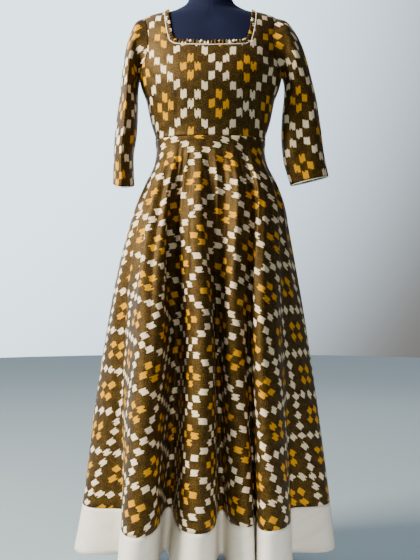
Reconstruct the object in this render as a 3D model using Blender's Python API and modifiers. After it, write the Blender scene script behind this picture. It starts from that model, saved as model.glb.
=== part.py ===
"""Anarkali gown in ikat cotton on a limbless dress form.

Metres, +Z up, the front of the gown towards -Y. The origin is under the middle of the form's base.
Left and right are the wearer's: the left sleeve is at +X.
"""

import math
from collections import namedtuple

import bmesh
import bpy
from mathutils import Vector

# Driving sizes
CLOTH = 0.0012  # thickness of the gown's cotton
FRILL_CLOTH = 0.001
SEAM = 0.0003  # gap between pieces at a seam
WAIST_GAP = 0.0006  # the walls lean towards each other at the waist seam, which leaves about SEAM
EASE = 0.0016  # from the form to the inside of the bodice
SIDE_EASE = 0.0030  # more ease under the arms
SIDE_EASE_Z = 1.265
SIDE_EASE_REACH = 0.075
HEM_Z = 0.070
BAND_TOP_Z = 0.185
WAIST_SEAM_Z = 1.088
ARMPIT_Z = 1.246
NECK_CORNER = (0.0985, 1.3140)  # half width and height of the neckline's lower corner
NECK_SHOULDER_X = 0.1145
ARMHOLE_TOP_X = 0.163
ARMHOLE_MID_Z = 1.325  # where the shoulder strap of a panel begins
FRONT_NECK_Z = 1.2975
BACK_NECK_Z = 1.362
BACK_CORNER = (0.0985, 1.374)
BACK_STRAP_Z = 1.372
SHOULDER_SPAN = (1.385, 1.430)  # the heights that hold the form's shoulder line
ARMHOLE_START = 0.004  # the armhole's points begin this far above the armpit
PIPING_RADIUS = 0.00125
FRILL_WIDTH = 0.0100
GATHERS = 96
FRILL_ROOT_LIFTS = (0.0021, 0.0029)  # the trough and the ridge of a gather over the form, at its sewn edge
FRILL_EDGE_LIFTS = (0.0018, 0.0050)  # and at its free edge
POLE_RADIUS = 0.0125
BASE_RADIUS = 0.190
BASE_HEIGHT = 0.014
BASE_BEVEL = 0.006

# The form from its lower edge to the top of its neck. Half width is along X, front and back are
# depths from the middle plane, and roundness is the section's exponent: 2 is an ellipse, less is
# more pointed at the sides.
Section = namedtuple("Section", "height half_width front back roundness")
FORM = [
    Section(0.790, 0.150, 0.088, 0.104, 2.2),
    Section(0.815, 0.160, 0.095, 0.112, 2.2),
    Section(0.860, 0.163, 0.100, 0.117, 2.2),
    Section(0.930, 0.158, 0.101, 0.115, 2.2),
    Section(1.000, 0.1405, 0.096, 0.099, 2.1),
    Section(1.0625, 0.1300, 0.091, 0.086, 2.1),
    Section(1.088, 0.1325, 0.0925, 0.087, 2.1),
    Section(1.1375, 0.1465, 0.103, 0.092, 2.1),
    Section(1.190, 0.1575, 0.119, 0.098, 2.2),
    Section(1.222, 0.1675, 0.125, 0.100, 2.2),
    Section(1.250, 0.1720, 0.121, 0.101, 2.3),
    Section(1.290, 0.1690, 0.107, 0.100, 2.4),
    Section(1.330, 0.1695, 0.090, 0.093, 2.4),
    Section(1.360, 0.1720, 0.077, 0.082, 2.2),
    Section(1.380, 0.1715, 0.068, 0.072, 1.9),
    Section(1.392, 0.1640, 0.063, 0.067, 1.65),
    Section(1.400, 0.1480, 0.059, 0.064, 1.5),
    Section(1.4075, 0.1190, 0.055, 0.062, 1.4),
    Section(1.413, 0.0960, 0.052, 0.061, 1.45),
    Section(1.420, 0.0780, 0.050, 0.060, 1.6),
    Section(1.4275, 0.0640, 0.048, 0.060, 1.8),
    Section(1.437, 0.0565, 0.046, 0.060, 2.0),
    Section(1.455, 0.0530, 0.045, 0.058, 2.0),
    Section(1.500, 0.0520, 0.044, 0.057, 2.0),
]

# Half of the neckline, from the middle of the gown to its corner and up to the shoulder.
NeckPoint = namedtuple("NeckPoint", "x height")
FRONT_NECK = [
    NeckPoint(0.000, FRONT_NECK_Z),
    NeckPoint(0.050, 1.3000),
    NeckPoint(0.083, 1.3035),
    NeckPoint(*NECK_CORNER),
    NeckPoint(0.1045, 1.336),
    NeckPoint(0.1100, 1.368),
]
BACK_NECK = [
    NeckPoint(0.000, BACK_NECK_Z),
    NeckPoint(0.050, 1.3635),
    NeckPoint(0.083, 1.3670),
    NeckPoint(*BACK_CORNER),
    NeckPoint(0.1055, 1.386),
    NeckPoint(0.1110, 1.398),
]

# The armhole seam above the armpit: its x on the front and on the back.
Armhole = namedtuple("Armhole", "height front_x back_x")
ARMHOLE = [
    Armhole(1.259, 0.1665, 0.1690),
    Armhole(1.272, 0.1570, 0.1640),
    Armhole(1.290, 0.1510, 0.1580),
    Armhole(1.325, 0.1490, 0.1530),
    Armhole(1.360, 0.1530, 0.1560),
]

# Rings of a sleeve's outside from near the shoulder to the cuff: the ring's outer and inner edge in
# the XZ plane, half its depth along Y, where its middle lies in Y, its roundness, and how much
# lower its front is than its sides.
SleeveRing = namedtuple("SleeveRing", "outer_x outer_z inner_x inner_z depth middle_y roundness front_drop")
SLEEVE_LEFT = [
    SleeveRing(0.1860, 1.3870, 0.1785, 1.2478, 0.055, 0.000, 2.0, 0.000),
    SleeveRing(0.2050, 1.3660, 0.1815, 1.2440, 0.056, 0.000, 2.0, 0.000),
    SleeveRing(0.2235, 1.3330, 0.1835, 1.2330, 0.053, -0.002, 2.0, 0.000),
    SleeveRing(0.2370, 1.2950, 0.1845, 1.2180, 0.048, -0.004, 2.0, 0.000),
    SleeveRing(0.2500, 1.2450, 0.1830, 1.1900, 0.043, -0.006, 2.0, 0.000),
    SleeveRing(0.2635, 1.1875, 0.1785, 1.1500, 0.038, -0.008, 2.0, 0.000),
    SleeveRing(0.2735, 1.1225, 0.1765, 1.1000, 0.034, -0.010, 2.0, 0.000),
    SleeveRing(0.2810, 1.0600, 0.1805, 1.0450, 0.032, -0.012, 2.0, 0.000),
    SleeveRing(0.2920, 1.0010, 0.1985, 0.9785, 0.030, -0.014, 2.0, 0.000),
]
SLEEVE_RIGHT = [
    SleeveRing(0.1820, 1.3860, 0.1780, 1.2478, 0.056, 0.000, 2.0, 0.000),
    SleeveRing(0.1950, 1.3630, 0.1790, 1.2440, 0.059, 0.000, 1.9, 0.000),
    SleeveRing(0.2070, 1.3280, 0.1800, 1.2330, 0.060, -0.002, 1.8, 0.000),
    SleeveRing(0.2145, 1.2900, 0.1805, 1.2180, 0.059, -0.004, 1.7, 0.000),
    SleeveRing(0.2205, 1.2450, 0.1810, 1.1900, 0.058, -0.006, 1.6, 0.000),
    SleeveRing(0.2260, 1.1900, 0.1812, 1.1500, 0.057, -0.008, 1.5, 0.000),
    SleeveRing(0.2340, 1.1300, 0.1840, 1.1000, 0.056, -0.010, 1.5, 0.000),
    SleeveRing(0.2390, 1.0650, 0.1915, 1.0450, 0.055, -0.012, 1.5, 0.005),
    SleeveRing(0.2410, 0.9820, 0.1895, 0.9780, 0.054, -0.014, 1.6, 0.012),
]

# The skirt without its flutes, from the waist seam to the hem.
SKIRT = [
    Section(WAIST_SEAM_Z - WAIST_GAP, 0.1368, 0.0960, 0.0905, 2.1),
    Section(1.0625, 0.1344, 0.0955, 0.0900, 2.1),
    Section(1.0300, 0.1400, 0.1040, 0.1000, 2.1),
    Section(0.9825, 0.1630, 0.1220, 0.1180, 2.15),
    Section(0.9275, 0.1850, 0.1400, 0.1370, 2.2),
    Section(0.8600, 0.2016, 0.1600, 0.1550, 2.25),
    Section(0.7750, 0.2206, 0.1820, 0.1750, 2.3),
    Section(0.6675, 0.2405, 0.2060, 0.1960, 2.3),
    Section(0.5575, 0.2580, 0.2260, 0.2150, 2.3),
    Section(0.4425, 0.2755, 0.2450, 0.2330, 2.3),
    Section(0.3100, 0.2925, 0.2620, 0.2490, 2.3),
    Section(BAND_TOP_Z, 0.3085, 0.2740, 0.2610, 2.3),
    Section(HEM_Z, 0.3260, 0.2860, 0.2720, 2.3),
]
FOLD_START_Z = 1.078
FOLD_GROWTH = 0.75  # below 1, the flutes open quickly under the waist
FORM_CLEAR = 0.0030  # from the form to the inside of the skirt where it lies on the hips
HIPS_TOP_Z = 1.05  # above this the skirt lies on the form as closely as the bodice
FORM_REACH = 0.03  # the skirt keeps clear of the form from this far under its lower edge

# The flutes and the valleys between them, anticlockwise from the seam on the gown's right side. At the
# top, in the middle and at the hem, x is a share of the skirt's half width there. hem_y is the depth
# at the hem, and width is how broad the crest or the valley floor is there.
Fold = namedtuple("Fold", "top middle hem hem_y width")
FRONT_FOLDS = [
    Fold(-1.00, -1.00, -1.000, -0.005, 0.075),
    Fold(-0.91, -0.765, -0.633, -0.040, 0.020),
    Fold(-0.69, -0.510, -0.474, -0.283, 0.070),
    Fold(-0.48, -0.285, -0.313, -0.010, 0.030),
    Fold(-0.26, -0.040, -0.0985, -0.252, 0.074),
    Fold(0.07, 0.100, 0.112, -0.040, 0.026),
    Fold(0.40, 0.242, 0.264, -0.192, 0.056),
    Fold(0.59, 0.388, 0.359, -0.090, 0.014),
    Fold(0.78, 0.545, 0.487, -0.226, 0.077),
    Fold(0.93, 0.730, 0.647, -0.030, 0.026),
]
BACK_FOLDS = [
    Fold(1.00, 1.00, 1.000, 0.020, 0.080),
    Fold(0.95, 0.86, 0.700, 0.060, 0.022),
    Fold(0.86, 0.76, 0.740, 0.160, 0.066),
    Fold(0.74, 0.60, 0.520, 0.075, 0.026),
    Fold(0.58, 0.50, 0.460, 0.240, 0.078),
    Fold(0.36, 0.30, 0.290, 0.095, 0.028),
    Fold(0.16, 0.15, 0.150, 0.270, 0.080),
    Fold(-0.04, -0.03, -0.015, 0.080, 0.026),
    Fold(-0.24, -0.20, -0.180, 0.264, 0.076),
    Fold(-0.42, -0.34, -0.315, 0.100, 0.026),
    Fold(-0.60, -0.52, -0.480, 0.234, 0.078),
    Fold(-0.76, -0.62, -0.540, 0.075, 0.024),
    Fold(-0.88, -0.78, -0.770, 0.150, 0.062),
    Fold(-0.96, -0.87, -0.720, 0.055, 0.022),
]
# How far to the gown's left the whole skirt hangs, at heights from the hem up.
SWAY_HEIGHTS = [HEM_Z, 0.2175, 0.4425, 0.6575, 0.7675, 0.8600, 0.9300, 0.9825, 1.0300, FOLD_START_Z]
SWAY = [-0.0120, -0.0085, -0.0095, -0.0090, -0.0080, -0.0045, 0.0000, 0.0018, 0.0010, 0.0000]
CREST_REACH = 3.0  # how far along a crest's own width its curve keeps its direction
SPAN_SHARES = (0.0, 0.15, 0.5, 0.85)  # columns from a crest to a valley, closer where the cloth turns
STEPS_PER_SPAN = len(SPAN_SHARES)

collection = None


def start():
    """Empty the scene and make the collection of parts."""
    global collection
    for item in list(bpy.data.objects):
        bpy.data.objects.remove(item)
    collection = bpy.data.collections.new("anarkali_gown")
    bpy.context.scene.collection.children.link(collection)


def material(name, colour, roughness, metallic=0.0):
    made = bpy.data.materials.new(name)
    made.use_nodes = True
    shader = made.node_tree.nodes["Principled BSDF"]
    shader.inputs["Base Color"].default_value = (*colour, 1)
    shader.inputs["Roughness"].default_value = roughness
    shader.inputs["Metallic"].default_value = metallic
    return made


def add_object(name, data, finish):
    item = bpy.data.objects.new(name, data)
    item.data.materials.append(finish)
    collection.objects.link(item)
    return item


def add_grid(name, rows, finish, closed=False):
    """A mesh through rows of points, each row running anticlockwise seen from outside."""
    wide = len(rows[0])
    faces = []
    for j in range(len(rows) - 1):
        for i in range(wide if closed else wide - 1):
            k = (i + 1) % wide
            faces.append((j * wide + i, j * wide + k, (j + 1) * wide + k, (j + 1) * wide + i))
    mesh = bpy.data.meshes.new(name)
    mesh.from_pydata([tuple(p) for row in rows for p in row], [], faces)
    return add_object(name, mesh, finish)


def thicken(item, thickness, outwards):
    wall = item.modifiers.new("wall", "SOLIDIFY")
    wall.thickness = thickness
    wall.offset = 1.0 if outwards else -1.0


def smooth(item):
    item.data.shade_smooth()


def lerp(a, b, t):
    return a + (b - a) * t


def curve_through(xs, ys, x):
    """A smooth curve through the points of a table, without overshoot, at x. xs rises."""
    x = min(max(x, xs[0]), xs[-1])
    k = 0
    while k < len(xs) - 2 and x > xs[k + 1]:
        k += 1
    slopes = [(ys[i + 1] - ys[i]) / (xs[i + 1] - xs[i]) for i in range(len(xs) - 1)]

    def tangent(i):
        if i == 0:
            return slopes[0]
        if i == len(xs) - 1:
            return slopes[-1]
        before, after = slopes[i - 1], slopes[i]
        return 0.0 if before * after <= 0 else 2 * before * after / (before + after)

    step = xs[k + 1] - xs[k]
    t = (x - xs[k]) / step
    start_weight = 2 * t**3 - 3 * t**2 + 1
    start_slope = (t**3 - 2 * t**2 + t) * step
    end_slope = (t**3 - t**2) * step
    between = start_weight * ys[k] + (1 - start_weight) * ys[k + 1]
    return between + start_slope * tangent(k) + end_slope * tangent(k + 1)


def section_at(table, height):
    """The section of a table at a height."""
    rows = sorted(table, key=lambda row: row.height)
    heights = [row.height for row in rows]
    return Section(height, *[curve_through(heights, [row[i] for row in rows], height) for i in range(1, 5)])


def on_section(section, angle):
    """The point of a section at an angle from +X; the front has negative angles."""
    c, s = math.cos(angle), math.sin(angle)
    power = 2 / section.roundness
    depth = section.back if s > 0 else section.front
    x = section.half_width * math.copysign(abs(c) ** power, c)
    y = depth * math.copysign(abs(s) ** power, s)
    return Vector((x, y, section.height))


def on_form(angle, height):
    return on_section(section_at(FORM, height), angle)


def form_normal(angle, height):
    step_angle, step_height = 0.01, 0.0005
    along = on_form(angle + step_angle, height) - on_form(angle - step_angle, height)
    up = on_form(angle, height + step_height) - on_form(angle, height - step_height)
    return along.cross(up).normalized()


def over_form(angle, height, lift):
    return on_form(angle, height) + form_normal(angle, height) * lift


def ease_at(angle, height):
    """The gap from the form to the bodice, which is wider at the sides under the arms."""
    near_arm = max(0.0, 1 - ((height - SIDE_EASE_Z) / SIDE_EASE_REACH) ** 2)
    return EASE + SIDE_EASE * near_arm * math.cos(angle) ** 2


def angle_of(x, height, side):
    """The angle of the form's point at x on the front (side -1) or the back (side 1)."""
    section = section_at(FORM, height)
    share = min(1.0, abs(x) / section.half_width)
    angle = math.acos(share ** (section.roundness / 2))
    if x < 0:
        angle = math.pi - angle
    return angle * side


def ridge_height(x):
    """The height of the form's shoulder line at x."""
    low, high = SHOULDER_SPAN
    for _ in range(30):
        middle = (low + high) / 2
        if section_at(FORM, middle).half_width > x:
            low = middle
        else:
            high = middle
    return low


def nearest_on_form(point, angle, height):
    """The angle and height of the form's point nearest to a point, from a first guess."""
    for _ in range(6):
        here = on_form(angle, height)
        along = (on_form(angle + 0.001, height) - here) / 0.001
        up = (on_form(angle, height + 0.0001) - here) / 0.0001
        off = point - here
        a, b, c = along.dot(along), along.dot(up), up.dot(up)
        d, e = off.dot(along), off.dot(up)
        spread = a * c - b * b
        if abs(spread) < 1e-14:
            break
        angle += (c * d - b * e) / spread
        height += (a * e - b * d) / spread
    return angle, height


def neck_height(table, x):
    return curve_through([p.x for p in table[:4]], [p.height for p in table[:4]], x)


def neck_x(table, height):
    rows = [*table[3:], NeckPoint(NECK_SHOULDER_X, ridge_height(NECK_SHOULDER_X))]
    return curve_through([p.height for p in rows], [p.x for p in rows], height)


def armhole_x(side, height):
    top = ridge_height(ARMHOLE_TOP_X)
    heights = [ARMPIT_Z, *[row.height for row in ARMHOLE], top]
    xs = [row.front_x if side < 0 else row.back_x for row in ARMHOLE]
    return curve_through(heights, [section_at(FORM, ARMPIT_Z).half_width, *xs, ARMHOLE_TOP_X], height)


NECK_COLUMNS = 6
STRAP_COLUMNS = 5
EVEN_ROWS = 9
LOWER_ROWS = EVEN_ROWS + 1
STRAP_ROWS = 5
WAIST_CORNER_X = 0.082


def half_panel(side, neck, corner, strap_z, centre_gap):
    """Half of the bodice's front or back at +X, as (angle, height) of each point.

    The lower rows run from the waist seam to the neckline and to the foot of the shoulder strap, and
    the strap rows run on to the shoulder seam. A point is keyed by its column and row.
    """
    points = {}
    columns = NECK_COLUMNS + STRAP_COLUMNS
    corner_x, corner_z = corner
    armpit_row = round((ARMPIT_Z - WAIST_SEAM_Z) / (strap_z - WAIST_SEAM_Z) * EVEN_ROWS)
    shares = sorted([k / EVEN_ROWS for k in range(EVEN_ROWS + 1)] + [(armpit_row + 0.5) / EVEN_ROWS])
    for c in range(columns + 1):
        strap_share = max(0, c - NECK_COLUMNS) / STRAP_COLUMNS
        for j in range(LOWER_ROWS + 1):
            f = shares[j]
            middle_x = lerp(WAIST_CORNER_X, corner_x, f) * min(c, NECK_COLUMNS) / NECK_COLUMNS
            top = neck_height(neck, middle_x) if c < NECK_COLUMNS else lerp(corner_z, strap_z, strap_share)
            height = lerp(WAIST_SEAM_Z, top, f)
            if c <= NECK_COLUMNS:
                points[c, j] = (angle_of(max(middle_x, centre_gap), height, side), height)
                continue
            inner = angle_of(middle_x, height, side)
            outer = 0.0 if height <= ARMPIT_Z + 1e-6 else angle_of(armhole_x(side, height), height, side)
            points[c, j] = (lerp(inner, outer, strap_share), height)
    bottom = [points[c, LOWER_ROWS] for c in range(NECK_COLUMNS, columns + 1)]
    bottom = [(on_form(*p).x, p[1]) for p in bottom]
    neck_top = ridge_height(NECK_SHOULDER_X)
    arm_top = ridge_height(ARMHOLE_TOP_X)
    for j in range(1, STRAP_ROWS + 1):
        t = 1 - (1 - j / STRAP_ROWS) ** 1.5
        neck_z = lerp(corner_z, neck_top, t)
        arm_z = lerp(strap_z, arm_top, t)
        inner = (neck_x(neck, neck_z), neck_z)
        outer = (armhole_x(side, arm_z), arm_z)
        for k in range(STRAP_COLUMNS + 1):
            s = k / STRAP_COLUMNS
            seam_x = lerp(NECK_SHOULDER_X, ARMHOLE_TOP_X, s)
            low, seam = bottom[k], (seam_x, ridge_height(seam_x))
            blend = []
            for i in range(2):
                across = lerp(inner[i], outer[i], s)
                along = lerp(low[i], seam[i], t)
                corners = lerp(
                    lerp(bottom[0][i], bottom[-1][i], s),
                    lerp((NECK_SHOULDER_X, neck_top)[i], (ARMHOLE_TOP_X, arm_top)[i], s),
                    t,
                )
                blend.append(across + along - corners)
            x, height = blend
            angle = 0.0 if j == STRAP_ROWS else angle_of(x, height, side)
            points[NECK_COLUMNS + k, LOWER_ROWS + j] = (angle, height if j < STRAP_ROWS else seam[1])
    return points


FRONT_HALF = half_panel(-1, FRONT_NECK, NECK_CORNER, ARMHOLE_MID_Z, 0.0)
BACK_HALF = half_panel(1, BACK_NECK, BACK_CORNER, BACK_STRAP_Z, SEAM / 2)


def panel_point(half, key, lift, side):
    """The 3D point of a half panel, moved off the side and shoulder seams by half the seam gap."""
    point = over_form(*half[key], ease_at(*half[key]) + lift)
    if abs(half[key][0]) < 1e-9:
        point.y += side * SEAM / 2
    return point


def bodice_mesh(name, half, side, mirror):
    """The open surface of a half panel, on the side of +X or mirrored to -X."""
    keys = list(half)
    number = {key: i for i, key in enumerate(keys)}
    flip = -1 if mirror else 1
    verts = [panel_point(half, key, 0.0, side) for key in keys]
    verts = [(p.x * flip, p.y, p.z) for p in verts]
    faces = []
    for c, j in keys:
        ring = [(c, j), (c + 1, j), (c + 1, j + 1), (c, j + 1)]
        if all(key in number for key in ring):
            face = [number[key] for key in ring]
            faces.append(face if side * flip < 0 else face[::-1])
    mesh = bpy.data.meshes.new(name)
    mesh.from_pydata(verts, [], faces)
    return mesh


def make_bodice(finish):
    front = add_object("bodice_front", bodice_mesh("bodice_front", FRONT_HALF, -1, False), finish)
    mirror = front.modifiers.new("other_half", "MIRROR")
    mirror.merge_threshold = 0.0001
    thicken(front, CLOTH, True)
    smooth(front)
    for name, flip in (("bodice_back_left", False), ("bodice_back_right", True)):
        back = add_object(name, bodice_mesh(name, BACK_HALF, 1, flip), finish)
        thicken(back, CLOTH, True)
        smooth(back)


def armhole_edge():
    """The armhole's points on the bodice's outer face at +X, down the front and up the back."""
    outermost = NECK_COLUMNS + STRAP_COLUMNS
    front = [(outermost, j) for j in range(LOWER_ROWS + STRAP_ROWS, -1, -1)]
    front = [key for key in front if FRONT_HALF[key][1] > ARMPIT_Z + ARMHOLE_START]
    edge = [(FRONT_HALF[key], -1) for key in front] + [((0.0, ARMPIT_Z), 0)]
    back = [(outermost, j) for j in range(LOWER_ROWS + STRAP_ROWS, -1, -1)]
    back = [key for key in back if BACK_HALF[key][1] > ARMPIT_Z + ARMHOLE_START]
    edge += [(BACK_HALF[key], 1) for key in back[:0:-1]]
    return edge


def make_sleeve(name, rings, flip, finish):
    """A tube from the armhole to the cuff; its points match those of the bodice's armhole edge."""
    edge = armhole_edge()
    places = [over_form(*place, ease_at(*place) + CLOTH) for place, _ in edge]
    count = len(places)
    centre = sum(places, Vector()) / count
    top, bottom = places[0].z, ARMPIT_Z
    first = []
    angles = []
    for i, (place, side) in enumerate(edge):
        tangent = (places[(i + 1) % count] - places[i - 1]).normalized()
        away = tangent.cross(form_normal(*place))
        if away.x < 0 or (abs(away.x) < 0.2 and away.z < 0):
            away.negate()
        first.append(places[i] + away * SEAM)
        height = (2 * places[i].z - top - bottom) / (top - bottom)
        around = math.acos(max(-1.0, min(1.0, height)))
        angles.append(around if places[i].y < centre.y or side < 0 else 2 * math.pi - around)
    rows = [first]
    for ring in rings:
        outer = Vector((ring.outer_x, ring.middle_y, ring.outer_z))
        inner = Vector((ring.inner_x, ring.middle_y, ring.inner_z))
        section = Section(0.0, 1.0, ring.depth, ring.depth, ring.roundness)
        row = []
        for angle in angles:
            flat = on_section(section, -angle)
            drop = ring.front_drop * flat.y / ring.depth
            row.append((outer + inner) / 2 + (outer - inner) / 2 * flat.x + Vector((0, flat.y, drop)))
        rows.append(row)
    rows = [[Vector((p.x * flip, p.y, p.z)) for p in row] for row in rows]
    if flip < 0:
        rows = [[row[0], *row[:0:-1]] for row in rows]
    sleeve = add_grid(name, rows, finish, closed=True)
    thicken(sleeve, CLOTH, False)
    smooth(sleeve)
    return rows


def add_tube(name, points, radius, finish):
    """A closed tube of piping through points."""
    curve = bpy.data.curves.new(name, "CURVE")
    curve.dimensions = "3D"
    curve.bevel_depth = radius
    curve.bevel_resolution = 1
    spline = curve.splines.new("POLY")
    spline.points.add(len(points) - 1)
    for place, point in zip(spline.points, points, strict=True):
        place.co = (*point, 1)
    spline.use_cyclic_u = True
    return add_object(name, curve, finish)


def make_cuff_piping(name, rows, finish):
    """Piping under the sleeve's lower edge."""
    points = []
    for before, last in zip(rows[-2], rows[-1], strict=True):
        down = (last - before).normalized()
        points.append(last + down * (SEAM + PIPING_RADIUS))
    centre = sum(points, Vector()) / len(points)
    points = [p + (centre - p).normalized() * CLOTH / 2 for p in points]
    add_tube(name, points, PIPING_RADIUS, finish)


def neckline():
    """The neckline as (angle, height), anticlockwise seen from above, from the middle of the back."""
    columns = range(NECK_COLUMNS + 1)
    rows = range(LOWER_ROWS + 1, LOWER_ROWS + STRAP_ROWS + 1)
    front = [FRONT_HALF[c, LOWER_ROWS] for c in columns] + [FRONT_HALF[NECK_COLUMNS, j] for j in rows]
    back = [BACK_HALF[c, LOWER_ROWS] for c in columns] + [BACK_HALF[NECK_COLUMNS, j] for j in rows]
    back[0] = (math.pi / 2, back[0][1])
    front_left = [(-math.pi - angle, height) for angle, height in front]
    back_left = [(math.pi - angle, height) for angle, height in back]
    return back_left + front_left[-2::-1] + front[1:] + back[-2:0:-1]


def neck_frames():
    """Each neckline point: its place on the form, and its directions along, into the neck and out."""
    ring = neckline()
    places = [on_form(*p) for p in ring]
    frames = []
    for i, p in enumerate(ring):
        along = (places[(i + 1) % len(ring)] - places[i - 1]).normalized()
        out = form_normal(*p)
        inward = out.cross(along).normalized()
        frames.append((places[i], along, inward, out, p))
    return frames


def beside_neckline(frame, inward, lift):
    """A point that lies inwards of the neckline and stands off the form."""
    place, _, direction, _, (angle, height) = frame
    target = place + direction * inward
    return over_form(*nearest_on_form(target, angle, height), lift)


def make_neck_piping(frames, finish):
    inward = SEAM + PIPING_RADIUS
    points = [beside_neckline(frame, inward, EASE + CLOTH) for frame in frames]
    add_tube("neck_piping", points, PIPING_RADIUS, finish)


def make_frill(frames, finish):
    """The gathered frill: a root line beside the piping and a wavy free edge nearer the neck."""
    root_inward = 2 * SEAM + 2 * PIPING_RADIUS
    lines = []
    for inward, lifts in ((root_inward, FRILL_ROOT_LIFTS), (root_inward + FRILL_WIDTH, FRILL_EDGE_LIFTS)):
        ring = [[beside_neckline(frame, inward, lift) for lift in lifts] for frame in frames]
        lines.append(ring)
    count = len(frames)
    lengths = [(lines[0][(i + 1) % count][0] - lines[0][i][0]).length for i in range(count)]
    total = sum(lengths)
    steps = 2 * GATHERS
    rows = [[], []]
    i, passed = 0, 0.0
    for k in range(steps):
        target = total * k / steps
        while passed + lengths[i] < target:
            passed += lengths[i]
            i += 1
        t = (target - passed) / lengths[i]
        for row, ring in zip(rows, lines, strict=True):
            level = k % 2
            row.append(lerp(ring[i][level], ring[(i + 1) % count][level], t))
    frill = add_grid("neck_frill", rows, finish, closed=True)
    thicken(frill, FRILL_CLOTH, True)


def fold_station(shares, height):
    """A fold's x at a height as a share of the half width, from its shares at three heights."""
    return curve_through([HEM_Z, 0.56, 1.03], [shares.hem, shares.middle, shares.top], height)


def clear_of_form(point, height):
    """The point, moved out where it would come nearer to the form than the skirt lies on it."""
    if height < FORM[0].height - FORM_REACH:
        return point
    section = section_at(FORM, max(height, FORM[0].height))
    room = FORM_CLEAR if height < HIPS_TOP_Z else EASE
    wide, depth = section.half_width + room, (section.front if point.y < 0 else section.back) + room
    n = section.roundness
    reach = (abs(point.x / wide) ** n + abs(point.y / depth) ** n) ** (1 / n)
    if reach >= 1:
        return point
    return Vector((point.x / reach, point.y / reach, point.z))


def skirt_ring(height):
    """The skirt's closed section at a height, from the seam on the gown's right side round its front."""
    section = section_at(SKIRT, height)
    hem = section_at(SKIRT, HEM_Z)
    sway = curve_through(SWAY_HEIGHTS, SWAY, height)
    depth_share = max(0.0, (FOLD_START_Z - height) / (FOLD_START_Z - HEM_Z)) ** FOLD_GROWTH
    knots = []
    for folds, side in ((FRONT_FOLDS, -1), (BACK_FOLDS, 1)):
        plain_depth = section.front if side < 0 else section.back
        hem_depth = hem.front if side < 0 else hem.back
        for fold in folds:
            share = fold_station(fold, height)
            plain = side * plain_depth * (1 - abs(share) ** section.roundness) ** (1 / section.roundness)
            folded = fold.hem_y * plain_depth / hem_depth
            place = Vector((share * section.half_width + sway, lerp(plain, folded, depth_share), height))
            knots.append((place, fold.width * CREST_REACH * section.half_width / hem.half_width))
    count = len(knots)
    ring = []
    for i in range(count):
        (start, start_reach), (end, end_reach) = knots[i], knots[(i + 1) % count]
        start_way = (end - knots[i - 1][0]) / 2
        end_way = (knots[(i + 2) % count][0] - start) / 2
        start_way *= lerp(1.0, start_reach / start_way.length, depth_share)
        end_way *= lerp(1.0, end_reach / end_way.length, depth_share)
        for t in SPAN_SHARES:
            point = start + (end - start) * (3 * t**2 - 2 * t**3)
            point += start_way * (t**3 - 2 * t**2 + t) + end_way * (t**3 - t**2)
            ring.append(clear_of_form(point, height))
    return ring


def skirt_half(ring, front):
    """The front or the back of a ring, ending half a seam gap short of the side seams."""
    front_count = len(FRONT_FOLDS) * STEPS_PER_SPAN
    row = ring[: front_count + 1] if front else ring[front_count:] + ring[:1]
    row = list(row)
    row[0] = row[0] + (row[1] - row[0]).normalized() * SEAM / 2
    row[-1] = row[-1] + (row[-2] - row[-1]).normalized() * SEAM / 2
    return row


SKIRT_ROWS = [
    WAIST_SEAM_Z - WAIST_GAP, 1.064, 1.037, 1.005, 0.965, 0.915, 0.850,
    0.770, 0.670, 0.550, 0.430, 0.305, BAND_TOP_Z,
]


def make_skirt(cloth, band_cloth):
    for part, front in (("front", True), ("back", False)):
        rows = [skirt_half(skirt_ring(height), front) for height in reversed(SKIRT_ROWS)]
        panel = add_grid("skirt_" + part, rows, cloth)
        thicken(panel, CLOTH, True)
        smooth(panel)
        rows = [skirt_half(skirt_ring(height), front) for height in (HEM_Z, BAND_TOP_Z - SEAM)]
        band = add_grid("hem_band_" + part, rows, band_cloth)
        thicken(band, CLOTH, True)
        smooth(band)


FORM_COLUMNS = 32
FORM_ROWS = [
    0.790, 0.820, 0.860, 0.930, 1.000, 1.0625, 1.090, 1.140, 1.190, 1.222, 1.250, 1.290,
    1.330, 1.360, 1.380, 1.392, 1.400, 1.4075, 1.413, 1.420, 1.4275, 1.437, 1.455, 1.500,
]


def make_form(finish):
    """The solid torso with its neck: rings from the lower edge to the flat top of the neck."""
    rows = [
        [on_form(2 * math.pi * i / FORM_COLUMNS - math.pi, height) for i in range(FORM_COLUMNS)]
        for height in FORM_ROWS
    ]
    torso = add_grid("form_torso", rows, finish, closed=True)
    shape = bmesh.new()
    shape.from_mesh(torso.data)
    ends = [edge for edge in shape.edges if edge.is_boundary]
    bmesh.ops.holes_fill(shape, edges=ends, sides=0)
    bmesh.ops.recalc_face_normals(shape, faces=shape.faces)
    shape.to_mesh(torso.data)
    shape.free()
    smooth(torso)


def make_stand(metal):
    """A turned base on the floor and a pole up to the form."""
    profile = [
        (0.0, BASE_HEIGHT),
        (BASE_RADIUS - BASE_BEVEL, BASE_HEIGHT),
        (BASE_RADIUS, BASE_HEIGHT - BASE_BEVEL),
        (BASE_RADIUS, 0.0),
        (0.0, 0.0),
    ]
    mesh = bpy.data.meshes.new("form_base")
    mesh.from_pydata([(x, 0, z) for x, z in profile], [(i, i + 1) for i in range(len(profile) - 1)], [])
    base = add_object("form_base", mesh, metal)
    turn = base.modifiers.new("turn", "SCREW")
    turn.steps = 40
    turn.render_steps = 40
    turn.use_merge_vertices = True
    turn.merge_threshold = 0.0001
    bottom, top = BASE_HEIGHT + SEAM, FORM[0].height - SEAM
    bpy.ops.mesh.primitive_cylinder_add(
        vertices=16, radius=POLE_RADIUS, depth=top - bottom, location=(0, 0, (top + bottom) / 2)
    )
    pole = bpy.context.object
    pole.name = "form_pole"
    pole.data.materials.append(metal)
    for owner in list(pole.users_collection):
        owner.objects.unlink(pole)
    collection.objects.link(pole)


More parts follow.
